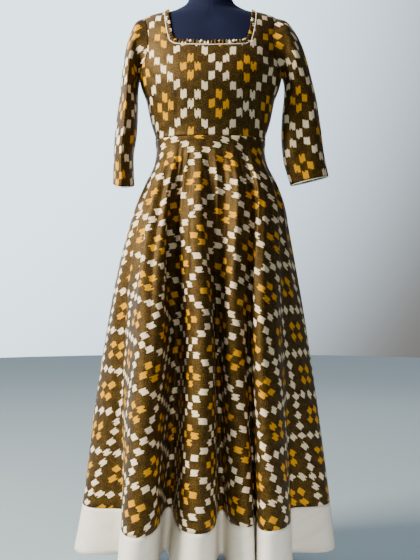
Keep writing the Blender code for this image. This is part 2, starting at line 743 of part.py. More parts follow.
def main():
    start()
    ikat = material("ikat_cotton", (0.16, 0.10, 0.035), 0.85)
    cream = material("cream_cotton", (0.85, 0.80, 0.68), 0.8)
    navy = material("navy_form_cover", (0.012, 0.018, 0.06), 0.7)
    metal = material("black_steel", (0.03, 0.03, 0.032), 0.45, 0.8)
    make_bodice(ikat)
    left = make_sleeve("sleeve_left", SLEEVE_LEFT, 1, ikat)
    right = make_sleeve("sleeve_right", SLEEVE_RIGHT, -1, ikat)
    make_cuff_piping("cuff_piping_left", left, cream)
    make_cuff_piping("cuff_piping_right", right, cream)
    frames = neck_frames()
    make_neck_piping(frames, cream)
    make_frill(frames, ikat)
    make_skirt(ikat, cream)
    make_form(navy)
    make_stand(metal)


main()
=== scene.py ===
import math
from collections import namedtuple

import bmesh
import bpy
import numpy as np
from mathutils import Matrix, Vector


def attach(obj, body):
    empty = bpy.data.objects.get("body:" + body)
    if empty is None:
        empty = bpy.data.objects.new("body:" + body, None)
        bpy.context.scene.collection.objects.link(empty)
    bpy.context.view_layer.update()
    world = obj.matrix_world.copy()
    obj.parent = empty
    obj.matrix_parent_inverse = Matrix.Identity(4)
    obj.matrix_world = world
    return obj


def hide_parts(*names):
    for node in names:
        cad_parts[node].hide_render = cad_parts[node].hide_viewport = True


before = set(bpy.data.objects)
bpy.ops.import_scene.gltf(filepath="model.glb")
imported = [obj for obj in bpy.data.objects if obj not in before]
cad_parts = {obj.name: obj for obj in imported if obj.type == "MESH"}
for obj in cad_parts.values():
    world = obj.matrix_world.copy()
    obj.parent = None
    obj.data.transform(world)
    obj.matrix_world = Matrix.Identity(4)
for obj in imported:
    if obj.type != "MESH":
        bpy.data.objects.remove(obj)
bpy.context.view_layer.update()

# Anarkali gown in ikat cotton on a navy dress form. Metres, the front towards -Y, left and right are the wearer's.

# Sizes shared with the solids
WALL = 0.0009  # thickness of the shown cloth
CLOTH = 0.0012  # from the inside to the outside of a solid's wall
SEAM = 0.0003
EASE = 0.0016
SIDE_EASE = 0.003
SIDE_EASE_Z = 1.265
SIDE_EASE_REACH = 0.075
WAIST_GAP = 0.0006
HEM_Z = 0.07
BAND_TOP_Z = 0.185
WAIST_SEAM_Z = 1.088
ARMPIT_Z = 1.246
NECK_CORNER = (0.0985, 1.314)
NECK_SHOULDER_X = 0.1145
ARMHOLE_TOP_X = 0.163
ARMHOLE_MID_Z = 1.325
FRONT_NECK_Z = 1.2975
BACK_NECK_Z = 1.362
BACK_CORNER = (0.0985, 1.374)
BACK_STRAP_Z = 1.372
SHOULDER_SPAN = (1.385, 1.43)
ARMHOLE_START = 0.002
PIPING_RADIUS = 0.00125
FRILL_WIDTH = 0.01
GATHERS = 96
POLE_RADIUS = 0.0125
BASE_RADIUS = 0.19
BASE_HEIGHT = 0.014
FOLD_START_Z = 1.078
FOLD_GROWTH = 0.75
FORM_CLEAR = 0.003
HIPS_TOP_Z = 1.05
FORM_REACH = 0.03
WAIST_CORNER_X = 0.082
NECK_COLUMNS = 6
STRAP_COLUMNS = 5

# Sections from the lowest up: height, half width, front, back, roundness
FORM_FOOT_Z = 0.79
FORM = [
    (FORM_FOOT_Z, 0.15, 0.088, 0.104, 2.2), (0.815, 0.16, 0.095, 0.112, 2.2),
    (0.86, 0.163, 0.1, 0.117, 2.2), (0.93, 0.158, 0.101, 0.115, 2.2),
    (1.0, 0.1405, 0.096, 0.099, 2.1), (1.0625, 0.13, 0.091, 0.086, 2.1),
    (1.088, 0.1325, 0.0925, 0.087, 2.1), (1.1375, 0.1465, 0.103, 0.092, 2.1),
    (1.19, 0.1575, 0.119, 0.098, 2.2), (1.222, 0.1675, 0.125, 0.1, 2.2),
    (1.25, 0.172, 0.121, 0.101, 2.3), (1.29, 0.169, 0.107, 0.1, 2.4),
    (1.33, 0.1695, 0.09, 0.093, 2.4), (1.36, 0.172, 0.077, 0.082, 2.2),
    (1.38, 0.1715, 0.068, 0.072, 1.9), (1.392, 0.164, 0.063, 0.067, 1.65),
    (1.4, 0.148, 0.059, 0.064, 1.5), (1.4075, 0.119, 0.055, 0.062, 1.4),
    (1.413, 0.096, 0.052, 0.061, 1.45), (1.42, 0.078, 0.05, 0.06, 1.6),
    (1.4275, 0.064, 0.048, 0.06, 1.8), (1.437, 0.0565, 0.046, 0.06, 2.0),
    (1.455, 0.053, 0.045, 0.058, 2.0), (1.5, 0.052, 0.044, 0.057, 2.0),
]
SKIRT = [
    (HEM_Z, 0.326, 0.286, 0.272, 2.3), (BAND_TOP_Z, 0.3085, 0.274, 0.261, 2.3),
    (0.31, 0.2925, 0.262, 0.249, 2.3), (0.4425, 0.2755, 0.245, 0.233, 2.3),
    (0.5575, 0.258, 0.226, 0.215, 2.3), (0.6675, 0.2405, 0.206, 0.196, 2.3),
    (0.775, 0.2206, 0.182, 0.175, 2.3), (0.86, 0.2016, 0.16, 0.155, 2.25),
    (0.9275, 0.185, 0.14, 0.137, 2.2), (0.9825, 0.163, 0.122, 0.118, 2.15),
    (1.03, 0.14, 0.104, 0.1, 2.1), (1.0625, 0.1344, 0.0955, 0.09, 2.1),
    (WAIST_SEAM_Z - WAIST_GAP, 0.1368, 0.096, 0.0905, 2.1),
]

# Half of the neckline from the middle to the shoulder, and the armhole seam above the armpit
FRONT_NECK = [(0.0, FRONT_NECK_Z), (0.05, 1.3), (0.083, 1.3035), NECK_CORNER, (0.1045, 1.336), (0.11, 1.368)]
BACK_NECK = [(0.0, BACK_NECK_Z), (0.05, 1.3635), (0.083, 1.367), BACK_CORNER, (0.1055, 1.386), (0.111, 1.398)]
# Height, x on the front, x on the back
ARMHOLE = [
    (1.259, 0.1665, 0.169), (1.272, 0.157, 0.164),
    (1.29, 0.151, 0.158), (1.325, 0.149, 0.153),
    (1.36, 0.153, 0.156),
]

# Rings of a sleeve from near the shoulder to the cuff: outer x and z, inner x and z, depth, roundness, and how far
# the front drops. From the third on, each stands FORWARD further to the front than the one before.
FORWARD = 0.002
SLEEVE_LEFT = [
    (0.186, 1.387, 0.1785, 1.2478, 0.055, 2.0, 0.0), (0.205, 1.366, 0.1815, 1.244, 0.056, 2.0, 0.0),
    (0.2235, 1.333, 0.1835, 1.233, 0.053, 2.0, 0.0), (0.237, 1.295, 0.1845, 1.218, 0.048, 2.0, 0.0),
    (0.25, 1.245, 0.183, 1.19, 0.043, 2.0, 0.0), (0.2635, 1.1875, 0.1785, 1.15, 0.038, 2.0, 0.0),
    (0.2735, 1.1225, 0.1765, 1.1, 0.034, 2.0, 0.0), (0.281, 1.06, 0.1805, 1.045, 0.032, 2.0, 0.0),
    (0.292, 1.001, 0.1985, 0.9785, 0.03, 2.0, 0.0),
]
SLEEVE_RIGHT = [
    (0.182, 1.386, 0.178, 1.2478, 0.056, 2.0, 0.0), (0.195, 1.363, 0.179, 1.244, 0.059, 1.9, 0.0),
    (0.207, 1.328, 0.18, 1.233, 0.06, 1.8, 0.0), (0.2145, 1.29, 0.1805, 1.218, 0.059, 1.7, 0.0),
    (0.2205, 1.245, 0.181, 1.19, 0.058, 1.6, 0.0), (0.226, 1.19, 0.1812, 1.15, 0.057, 1.5, 0.0),
    (0.234, 1.13, 0.184, 1.1, 0.056, 1.5, 0.0), (0.239, 1.065, 0.1915, 1.045, 0.055, 1.5, 0.005),
    (0.241, 0.982, 0.1895, 0.978, 0.054, 1.6, 0.012),
]

# The flutes and valleys anticlockwise from the seam on the gown's right side: share of the half width at the top,
# in the middle and at the hem, y at the hem, and width
FRONT_FOLDS = [
    (-1.0, -1.0, -1.0, -0.005, 0.075), (-0.91, -0.765, -0.633, -0.04, 0.02),
    (-0.69, -0.51, -0.474, -0.283, 0.07), (-0.48, -0.285, -0.313, -0.01, 0.03),
    (-0.26, -0.04, -0.0985, -0.252, 0.074), (0.07, 0.1, 0.112, -0.04, 0.026),
    (0.4, 0.242, 0.264, -0.192, 0.056), (0.59, 0.388, 0.359, -0.09, 0.014),
    (0.78, 0.545, 0.487, -0.226, 0.077), (0.93, 0.73, 0.647, -0.03, 0.026),
]
BACK_FOLDS = [
    (1.0, 1.0, 1.0, 0.02, 0.08), (0.95, 0.86, 0.7, 0.06, 0.022),
    (0.86, 0.76, 0.74, 0.16, 0.066), (0.74, 0.6, 0.52, 0.075, 0.026),
    (0.58, 0.5, 0.46, 0.24, 0.078), (0.36, 0.3, 0.29, 0.095, 0.028),
    (0.16, 0.15, 0.15, 0.27, 0.08), (-0.04, -0.03, -0.015, 0.08, 0.026),
    (-0.24, -0.2, -0.18, 0.264, 0.076), (-0.42, -0.34, -0.315, 0.1, 0.026),
    (-0.6, -0.52, -0.48, 0.234, 0.078), (-0.76, -0.62, -0.54, 0.075, 0.024),
    (-0.88, -0.78, -0.77, 0.15, 0.062), (-0.96, -0.87, -0.72, 0.055, 0.022),
]
# How far to the gown's left the whole skirt hangs, at heights from the hem up.
SWAY_HEIGHTS = [HEM_Z, 0.2175, 0.4425, 0.6575, 0.7675, 0.86, 0.93, 0.9825, 1.03, FOLD_START_Z]
SWAY = [-0.012, -0.0085, -0.0095, -0.009, -0.008, -0.0045, 0.0, 0.0018, 0.001, 0.0]
CREST_REACH = 3.0
FOLD_HEIGHTS = [HEM_Z, 0.56, 1.03]

# Creases: soft ridges (height above 0) and troughs (below 0) along a line from one place to another, as
# x and z of one end, x and z of the other, and width and height in millimetres.
# On the bodice x and z are metres seen from the front. On a sleeve x is the share of the way round from the top
# edge over the front, and z is the height. On the skirt x counts crests and valleys from the right side seam.
BODICE_FRONT_CREASES = [
    (0.081, 1.06, 0.077, 1.232, 3.5, -1.6), (-0.081, 1.06, -0.077, 1.232, 3.5, -1.6),
    (0.12, 1.16, 0.162, 1.232, 6, 1.6), (0.108, 1.185, 0.158, 1.25, 5.5, -1.4), (0.1, 1.262, 0.156, 1.246, 6.5, 1.8),
    (0.104, 1.278, 0.152, 1.268, 5.5, -1.3), (-0.118, 1.165, -0.163, 1.23, 6, 1.6),
    (-0.104, 1.196, -0.158, 1.25, 5.5, -1.4), (-0.098, 1.27, -0.155, 1.248, 6.5, 1.7),
    (-0.12, 1.3, -0.15, 1.33, 6, 1.4), (0.118, 1.296, 0.148, 1.325, 6, 1.3), (-0.06, 1.103, 0.03, 1.096, 5, 1.2),
    (0.02, 1.112, 0.09, 1.101, 5, -1.2), (-0.11, 1.112, -0.04, 1.118, 6, -1), (0.096, 1.118, 0.132, 1.106, 5, 1.2),
    (-0.098, 1.124, -0.134, 1.104, 5, 1.2), (-0.04, 1.262, 0.045, 1.258, 10, -1.2),
    (-0.085, 1.305, -0.128, 1.352, 6, 1), (0.088, 1.3, 0.128, 1.35, 6, 1),
]
BODICE_BACK_CREASES = [
    (0.072, 1.06, 0.078, 1.25, 3.5, -1.5), (-0.072, 1.06, -0.078, 1.25, 3.5, -1.5), (0.02, 1.118, 0.11, 1.11, 6, 1.6),
    (-0.105, 1.121, -0.018, 1.114, 6, 1.4), (0.015, 1.14, 0.092, 1.133, 6, -1.3),
    (-0.09, 1.144, -0.02, 1.137, 6, -1.2), (0.03, 1.166, 0.1, 1.158, 8, 1.2), (-0.11, 1.176, -0.03, 1.164, 8, 1.2),
    (0.104, 1.285, 0.15, 1.262, 7, 1.6), (-0.106, 1.282, -0.152, 1.258, 7, 1.6), (0.112, 1.212, 0.158, 1.24, 7, -1.2),
    (-0.11, 1.206, -0.16, 1.238, 7, -1.2),
]
SLEEVE_LEFT_CREASES = [
    (0.1, 1.372, 0.16, 1.285, 10, -3), (0.2, 1.352, 0.22, 1.262, 9, 2.6), (0.3, 1.335, 0.29, 1.25, 8, -2.6),
    (0.4, 1.3, 0.33, 1.225, 9, 3), (0.46, 1.268, 0.34, 1.195, 8, -2.6), (0.47, 1.235, 0.3, 1.172, 9, 2.8),
    (0.44, 1.205, 0.22, 1.15, 8, -2.2), (0.13, 1.28, 0.15, 1.02, 12, 2.4), (0.23, 1.215, 0.27, 0.99, 11, -2.4),
    (0.36, 1.13, 0.35, 0.985, 10, 2.2), (0.06, 1.2, 0.07, 1.01, 10, -1.6), (0.42, 1.11, 0.2, 1.075, 9, -1.8),
    (0.45, 1.072, 0.28, 1.04, 8, 1.6), (0.7, 1.35, 0.72, 1.23, 12, -2.8), (0.6, 1.29, 0.7, 1.19, 10, 2.6),
    (0.8, 1.26, 0.78, 1.01, 13, 2.4), (0.66, 1.15, 0.64, 0.99, 12, -2.2),
]
SLEEVE_RIGHT_CREASES = [
    (0.24, 1.3, 0.245, 0.985, 7, 2), (0.36, 1.33, 0.33, 1.24, 8, -3), (0.44, 1.29, 0.33, 1.215, 8, 2.8),
    (0.46, 1.245, 0.32, 1.19, 8, -2.6), (0.12, 1.365, 0.17, 1.29, 10, -2.8), (0.19, 1.345, 0.2, 1.25, 9, 2.6),
    (0.1, 1.25, 0.14, 1.06, 11, -2.2), (0.4, 1.16, 0.38, 0.99, 11, 2.6), (0.32, 1.12, 0.3, 1.0, 9, -2.2),
    (0.16, 1.12, 0.13, 0.995, 9, 1.8), (0.45, 1.115, 0.26, 1.088, 8, -1.6), (0.68, 1.33, 0.72, 1.23, 12, -2.8),
    (0.58, 1.28, 0.68, 1.18, 10, 2.6), (0.76, 1.24, 0.74, 0.99, 10, 2.2), (0.86, 1.2, 0.88, 1.02, 12, -2),
    (0.62, 1.13, 0.6, 0.985, 12, -2.2),
]
SKIRT_CREASES = [
    (0.6, 1.04, 0.45, 0.56, 18, 4), (0.8, 0.86, 0.76, 0.19, 17, -8.5), (0.93, 0.99, 0.97, 0.72, 14, -8),
    (1.2, 1.02, 1.22, 0.6, 12, 6), (1.45, 1.06, 1.5, 0.69, 14, -9), (1.77, 1.08, 1.74, 0.64, 12, 8),
    (2.05, 1.06, 2.0, 0.42, 12, -7), (2.3, 1.07, 2.28, 0.48, 12, 6), (2.62, 1.075, 2.8, 0.6, 14, -8),
    (3.1, 1.082, 3.0, 0.8, 12, -5), (3.45, 1.08, 3.4, 0.84, 10, 6), (3.78, 1.07, 3.7, 0.7, 12, -4),
    (4.25, 1.076, 4.2, 0.64, 14, 4), (4.62, 1.082, 4.66, 0.76, 12, -6), (5.0, 1.082, 5.1, 0.78, 12, 6),
    (5.4, 1.08, 5.42, 0.74, 12, -5), (5.95, 1.08, 5.98, 0.64, 12, 5), (6.4, 1.078, 6.36, 0.76, 10, -4),
    (7.1, 1.08, 7.06, 0.7, 12, -5), (7.55, 1.076, 7.52, 0.62, 12, 5), (8.1, 1.06, 8.08, 0.36, 14, -5),
    (8.6, 1.076, 8.56, 0.66, 12, 4), (9.3, 1.07, 9.4, 0.6, 16, 4.5), (0.25, 0.62, 0.22, 0.22, 22, -4),
    (9.75, 0.62, 9.72, 0.24, 22, -4), (3.9, 0.52, 3.94, 0.2, 18, 4), (4.3, 0.5, 4.26, 0.19, 16, -3.5),
    (2.22, 0.4, 2.2, 0.19, 16, 3.5), (6.1, 0.56, 6.12, 0.22, 14, -3), (7.86, 0.46, 7.84, 0.2, 16, 3.5),
    (10.5, 1.06, 10.6, 0.6, 14, -4.5), (11.4, 1.08, 11.5, 0.62, 12, 5), (12.3, 1.076, 12.4, 0.56, 12, -5),
    (13.2, 1.08, 13.2, 0.64, 12, 5.5), (13.8, 1.08, 13.7, 0.7, 12, -5), (14.3, 1.07, 14.2, 0.5, 13, 5),
    (15.3, 1.08, 15.4, 0.62, 12, 5), (15.8, 1.08, 15.9, 0.7, 12, -5.5), (16.4, 1.078, 16.3, 0.56, 13, -4.5),
    (17.2, 1.08, 17.3, 0.64, 12, 5), (18.2, 1.076, 18.1, 0.54, 12, -5), (19.3, 1.08, 19.4, 0.66, 12, 5),
    (20.2, 1.078, 20.3, 0.56, 13, -4.5), (21.3, 1.08, 21.2, 0.62, 12, 5), (22.4, 1.07, 22.3, 0.58, 13, -4.5),
    (23.3, 1.06, 23.4, 0.6, 14, 4),
]
CREASE_FADE = 0.3  # share of a crease in which it runs out at each end
SLEEVE_GIRTH = 0.23  # metres that one turn round a sleeve stands for in its creases
FOLD_WIDTH = 0.1  # metres that a step from crest to valley stands for in the skirt's creases

# The ikat: blocks of dyed warp, counted from a crossing of the cream lattice
BLOCK_WIDE = 0.0166
BLOCK_LONG = 0.021
REPEAT = 8
FEATHER = 0.0058
COLUMN_SHIFT = 0.006
DRIFT_ALONG = 0.008
DRIFT_ACROSS = 0.003
BLOCK_SHARE = (0.41, 0.45)  # half a block's cover of its cell, where it starts and ends to fade
BUNDLE = 0.0042
THREAD = 0.0011
SKIRT_RADIUS = 0.23  # radius of the waist on the flat half circle
SKIRT_SLANT = 1.035  # length down the skirt for each metre of height


def cubic(start, end, leave, arrive, t):
    """The way from start to end with these tangents."""
    rise = 3 * t**2 - 2 * t**3
    return start * (1 - rise) + end * rise + leave * (t**3 - 2 * t**2 + t) + arrive * (t**3 - t**2)


def curve_through(xs, ys, x):
    """A smooth curve through the points of a table, without overshoot, at every x. ys may hold several columns."""
    xs, ys = np.asarray(xs, float), np.asarray(ys, float)
    x = np.clip(np.atleast_1d(np.asarray(x, float)), xs[0], xs[-1])
    steps = np.diff(xs)
    if ys.ndim > 1:
        steps = steps[:, None]
    slopes = np.diff(ys, axis=0) / steps
    before, after = slopes[:-1], slopes[1:]
    total = np.where(before * after > 0, before + after, 1.0)
    middle = np.where(before * after > 0, 2 * before * after / total, 0.0)
    tangents = np.concatenate([slopes[:1], middle, slopes[-1:]])
    k = np.clip(np.searchsorted(xs, x, side="right") - 1, 0, len(xs) - 2)
    t = (x - xs[k]) / np.diff(xs)[k]
    if ys.ndim > 1:
        t = t[..., None]
    return cubic(ys[k], ys[k + 1], steps[k] * tangents[k], steps[k] * tangents[k + 1], t)


def sections(table, height):
    """Half width, front, back and roundness of a table at every height."""
    rows = np.array(table)
    return np.moveaxis(curve_through(rows[:, 0], rows[:, 1:], height), -1, 0)


def rounded(way, roundness):
    """A cosine or sine on a circle, moved to an oval with that roundness."""
    return np.sign(way) * np.abs(way) ** (2 / roundness)


def on_form(angle, height):
    """Points of the form at angles from +X; the front has negative angles."""
    angle, height = np.broadcast_arrays(np.asarray(angle, float), np.asarray(height, float))
    half_width, front, back, roundness = sections(FORM, height)
    c, s = np.cos(angle), np.sin(angle)
    y = np.where(s > 0, back, front) * rounded(s, roundness)
    return np.stack([half_width * rounded(c, roundness), y, height], axis=-1)


def norm(vectors):
    return np.linalg.norm(vectors, axis=-1)


def unit(vectors):
    return vectors / np.maximum(norm(vectors), 1e-12)[..., None]


def form_normal(angle, height):
    along = on_form(angle + 0.01, height) - on_form(angle - 0.01, height)
    up = on_form(angle, height + 0.0005) - on_form(angle, height - 0.0005)
    return unit(np.cross(along, up))


def over_form(angle, height, lift):
    return on_form(angle, height) + form_normal(angle, height) * np.asarray(lift)[..., None]


def ease_at(angle, height):
    near_arm = np.maximum(0.0, 1 - ((height - SIDE_EASE_Z) / SIDE_EASE_REACH) ** 2)
    return EASE + SIDE_EASE * near_arm * np.cos(angle) ** 2


def angle_of(x, height, side):
    """The angle of the form's point at x on the front (side -1) or the back (side 1)."""
    half_width, _, _, roundness = sections(FORM, height)
    share = np.minimum(1.0, np.abs(x) / half_width)
    angle = np.arccos(share ** (roundness / 2))
    return np.where(np.asarray(x) < 0, math.pi - angle, angle) * side


def ridge_height(x):
    low, high = SHOULDER_SPAN
    for _ in range(30):
        middle = (low + high) / 2
        if sections(FORM, [middle])[0][0] > x:
            low = middle
        else:
            high = middle
    return low


def nearest_on_form(points, angle, height):
    """Angles and heights of the form's points nearest to points, from a first guess."""
    for _ in range(6):
        here = on_form(angle, height)
        along = (on_form(angle + 0.001, height) - here) / 0.001
        up = (on_form(angle, height + 0.0001) - here) / 0.0001
        off = points - here
        a, b, c = (along * along).sum(-1), (along * up).sum(-1), (up * up).sum(-1)
        d, e = (off * along).sum(-1), (off * up).sum(-1)
        spread = np.maximum(a * c - b * b, 1e-14)
        angle = angle + (c * d - b * e) / spread
        height = height + (a * e - b * d) / spread
    return angle, height


NECK_TOP_Z = ridge_height(NECK_SHOULDER_X)
ARM_TOP_Z = ridge_height(ARMHOLE_TOP_X)


def neck_height(table, x):
    return curve_through(*zip(*table[:4]), x)


def neck_x(table, height):
    xs, heights = zip(*table[3:], (NECK_SHOULDER_X, NECK_TOP_Z))
    return curve_through(heights, xs, height)


def armhole_x(side, height):
    heights = [ARMPIT_Z, *[row[0] for row in ARMHOLE], ARM_TOP_Z]
    xs = [front_x if side < 0 else back_x for _, front_x, back_x in ARMHOLE]
    widest = sections(FORM, [ARMPIT_Z])[0][0]
    return curve_through(heights, [widest, *xs, ARMHOLE_TOP_X], height)


def ring_way(points):
    """From the neighbour before each point of a ring to the one after."""
    return np.roll(points, -1, axis=0) - np.roll(points, 1, axis=0)


def lerp(a, b, t):
    return a + (b - a) * t


def paired(u, v):
    return np.stack(np.broadcast_arrays(u, v), axis=-1)


FINE = 5  # fine columns for each column of the solid
PANEL_ROWS = 54
STRAP_ROWS = 22
Panel = namedtuple("Panel", "angle height")


def half_panel(side, neck, corner, strap_z, centre_gap):
    """Half of the bodice's front or back at +X: the part under the neckline, and the shoulder strap."""
    columns = np.arange((NECK_COLUMNS + STRAP_COLUMNS) * FINE + 1) / FINE
    shares = np.linspace(0, 1, PANEL_ROWS + 1)
    corner_x, corner_z = corner
    f, c = np.meshgrid(shares, columns, indexing="ij")
    strap_share = np.maximum(0, c - NECK_COLUMNS) / STRAP_COLUMNS
    middle_x = lerp(WAIST_CORNER_X, corner_x, f) * np.minimum(c, NECK_COLUMNS) / NECK_COLUMNS
    neck_z = neck_height(neck, middle_x)
    top = np.where(c < NECK_COLUMNS, neck_z, lerp(corner_z, strap_z, strap_share))
    height = lerp(WAIST_SEAM_Z, top, f)
    inner = angle_of(np.maximum(middle_x, centre_gap), height, side)
    arm = angle_of(armhole_x(side, height), height, side)
    outer = np.where(height <= ARMPIT_Z + 1e-6, 0.0, arm)
    body = Panel(np.where(c <= NECK_COLUMNS, inner, lerp(inner, outer, strap_share)), height)

    first = NECK_COLUMNS * FINE
    low_x = on_form(body.angle[-1, first:], body.height[-1, first:])[:, 0]
    low_z = body.height[-1, first:]
    t = 1 - (1 - np.linspace(0, 1, STRAP_ROWS + 1)) ** 1.5
    s = np.linspace(0, 1, STRAP_COLUMNS * FINE + 1)
    neck_z, arm_z = lerp(corner_z, NECK_TOP_Z, t), lerp(strap_z, ARM_TOP_Z, t)
    inner = np.stack([neck_x(neck, neck_z), neck_z])
    outer = np.stack([armhole_x(side, arm_z), arm_z])
    seam_x = lerp(NECK_SHOULDER_X, ARMHOLE_TOP_X, s)
    seam = np.stack([seam_x, [ridge_height(x) for x in seam_x]])
    low = np.stack([low_x, low_z])
    t = t[:, None]
    across = lerp(inner[..., None], outer[..., None], s)
    along = lerp(low[:, None], seam[:, None], t)
    foot, head = lerp(low[:, :1], low[:, -1:], s), lerp(seam[:, :1], seam[:, -1:], s)
    x, z = across + along - lerp(foot[:, None], head[:, None], t)
    z[-1] = seam[1]
    angle = angle_of(x, z, side)
    angle[-1] = 0.0
    return body, Panel(angle, z)


FRONT_HALF = half_panel(-1, FRONT_NECK, NECK_CORNER, ARMHOLE_MID_Z, 0.0)
BACK_HALF = half_panel(1, BACK_NECK, BACK_CORNER, BACK_STRAP_Z, SEAM / 2)


def relief(creases, x, z, x_metres=1.0):
    """Height of the creases over the plain cloth at every (x, z)."""
    total = np.zeros(np.broadcast(x, z).shape)
    for x0, z0, x1, z1, width_mm, height_mm in creases:
        across, down = (x1 - x0) * x_metres, z1 - z0
        length = math.hypot(across, down)
        off_x, off_z = (x - x0) * x_metres, z - z0
        t = (off_x * across + off_z * down) / length**2
        away = (off_x * down - off_z * across) / length
        fade = np.clip(np.minimum(t, 1 - t) / CREASE_FADE, 0, 1)
        fade = fade * fade * (3 - 2 * fade)
        total += height_mm / 1000 * np.exp(-((away / (width_mm / 1000)) ** 2)) * fade
    return total


def grid_normals(points, outside):
    """Normals of a grid of points, turned so that most of them point the way of outside."""
    normals = unit(np.cross(np.gradient(points, axis=1), np.gradient(points, axis=0)))
    if (normals * outside).sum() < 0:
        normals = -normals
    return normals


def add_object(name, data):
    item = bpy.data.objects.new(name, data)
    bpy.context.scene.collection.objects.link(item)
    return item


def add_sheet(name, grids, finish, weld=False):
    """A mesh of one or more grids of (points, uvs, flip). A grid whose uvs have one column more is closed."""
    verts, faces, loops = [], [], []
    for points, uvs, flip in grids:
        rows, columns = points.shape[:2]
        i, j = np.meshgrid(np.arange(uvs.shape[1] - 1), np.arange(rows - 1) * columns)
        k = (i + 1) % columns
        face = len(verts) + np.stack([j + i, j + k, j + columns + k, j + columns + i], axis=-1)
        uv = np.stack([uvs[:-1, :-1], uvs[:-1, 1:], uvs[1:, 1:], uvs[1:, :-1]], axis=2)
        way = -1 if flip else 1
        verts += points.reshape(-1, 3).tolist()
        faces += face[..., ::way].reshape(-1, 4).tolist()
        loops += uv[:, :, ::way].ravel().tolist()
    mesh = bpy.data.meshes.new(name)
    mesh.from_pydata(verts, [], faces)
    mesh.uv_layers.new(name="cut").data.foreach_set("uv", loops)
    item = add_object(name, mesh)
    mesh.materials.append(finish)
    if weld:
        shape = bmesh.new()
        shape.from_mesh(mesh)
        bmesh.ops.remove_doubles(shape, verts=shape.verts, dist=0.00002)
        shape.to_mesh(mesh)
        shape.free()
    mesh.shade_smooth()
    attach(item, "root")
    return item


def close_ends(item):
    shape = bmesh.new()
    shape.from_mesh(item.data)
    bmesh.ops.holes_fill(shape, edges=[edge for edge in shape.edges if edge.is_boundary], sides=0)
    bmesh.ops.recalc_face_normals(shape, faces=shape.faces)
    shape.to_mesh(item.data)
    shape.free()


def pick(item):
    bpy.ops.object.select_all(action="DESELECT")
    item.select_set(True)
    bpy.context.view_layer.objects.active = item


def column_lengths(points):
    """Length along each column from the first row."""
    steps = norm(np.diff(points, axis=0))
    return np.concatenate([np.zeros((1, points.shape[1])), np.cumsum(steps, axis=0)])


GIRTH_STEPS = 24


def girth_from_middle(panel, side):
    """Length round the form from the middle of the front or back to each point."""
    total = np.zeros(panel.angle.shape)
    here = on_form(np.full(panel.angle.shape, side * math.pi / 2), panel.height)
    for share in np.linspace(0, 1, GIRTH_STEPS + 1)[1:]:
        there = on_form(lerp(side * math.pi / 2, panel.angle, share), panel.height)
        total += norm(there - here)
        here = there
    return total


class Wire:
    """One output of a material's nodes. Sums with it make Math nodes."""

    def __init__(self, tree, socket):
        self.tree, self.socket = tree, socket

    def math(self, operation, *others):
        return add_node(self.tree, "Math", dict(enumerate((self, *others))), operation=operation)

    def __add__(self, other):
        return self.math("ADD", other)

    def __sub__(self, other):
        return self.math("SUBTRACT", other)

    def __mul__(self, other):
        return self.math("MULTIPLY", other)

    def __truediv__(self, other):
        return self.math("DIVIDE", other)

    def times_plus(self, factor, more):
        return self.math("MULTIPLY_ADD", factor, more)


def plug(socket, value):
    """A wire, a number or a colour put into a socket."""
    if isinstance(value, Wire):
        value.tree.links.new(value.socket, socket)
    else:
        socket.default_value = (*value, 1) if isinstance(value, tuple) else value


def add_node(tree, kind, inputs, output=0, **settings):
    """One output of a new node with these inputs and settings."""
    node = tree.nodes.new("ShaderNode" + kind)
    for key, value in settings.items():
        setattr(node, key, value)
    for key, value in inputs.items():
        plug(node.inputs[key], value)
    return Wire(tree, node.outputs[output])


def blend(share, first, second):
    return add_node(share.tree, "Mix", {0: share, 6: first, 7: second}, 2, data_type="RGBA")


def noise(vector, detail, scale=1.0):
    return add_node(vector.tree, "TexNoise", {"Scale": scale, "Detail": detail, "Vector": vector})


def grain(u, v, across, along, detail):
    """Noise on the flat cloth, with its spots for each metre across and along the warp."""
    return noise(add_node(u.tree, "CombineXYZ", {0: u * across, 1: v * along}), detail)


def dice(value):
    """A fixed random number from 0 to 1 for each whole value."""
    return add_node(value.tree, "TexWhiteNoise", {"W": value}, noise_dimensions="1D")


def ramp(value, low, high):
    """0 below low, 1 above high and smooth between."""
    return add_node(value.tree, "MapRange", {0: value, 1: low, 2: high}, interpolation_type="SMOOTHSTEP")


def split(spot):
    return [add_node(spot.tree, "SeparateXYZ", {0: spot}, way) for way in range(3)]


def cut_places(made):
    """Metres across the warp and along it, from the piece's own cut."""
    return split(add_node(made.node_tree, "UVMap", {}, uv_map="cut"))[:2]


def new_finish(name, roughness, **inputs):
    """A material with plain values on its shader, where _ stands for a space in a socket's name."""
    made = bpy.data.materials.new(name)
    made.use_nodes = True
    set_shader(made, Roughness=roughness, **inputs)
    return made


def set_shader(made, **inputs):
    shader = made.node_tree.nodes["Principled BSDF"]
    for key, value in inputs.items():
        plug(shader.inputs[key.replace("_", " ")], value)


def surface(made, colour, height, distance, strength):
    """The material with its colour and its small bumps."""
    bump = add_node(made.node_tree, "Bump", {"Strength": strength, "Distance": distance, "Height": height})
    set_shader(made, Base_Color=colour, Normal=bump)
    return made


def weave(u, v, pitch):
    """Height of a plain weave's threads."""
    across, along = ((way * (2 * math.pi / pitch)).math("SINE") for way in (u, v))
    return (across * along).times_plus(0.5, 0.5)


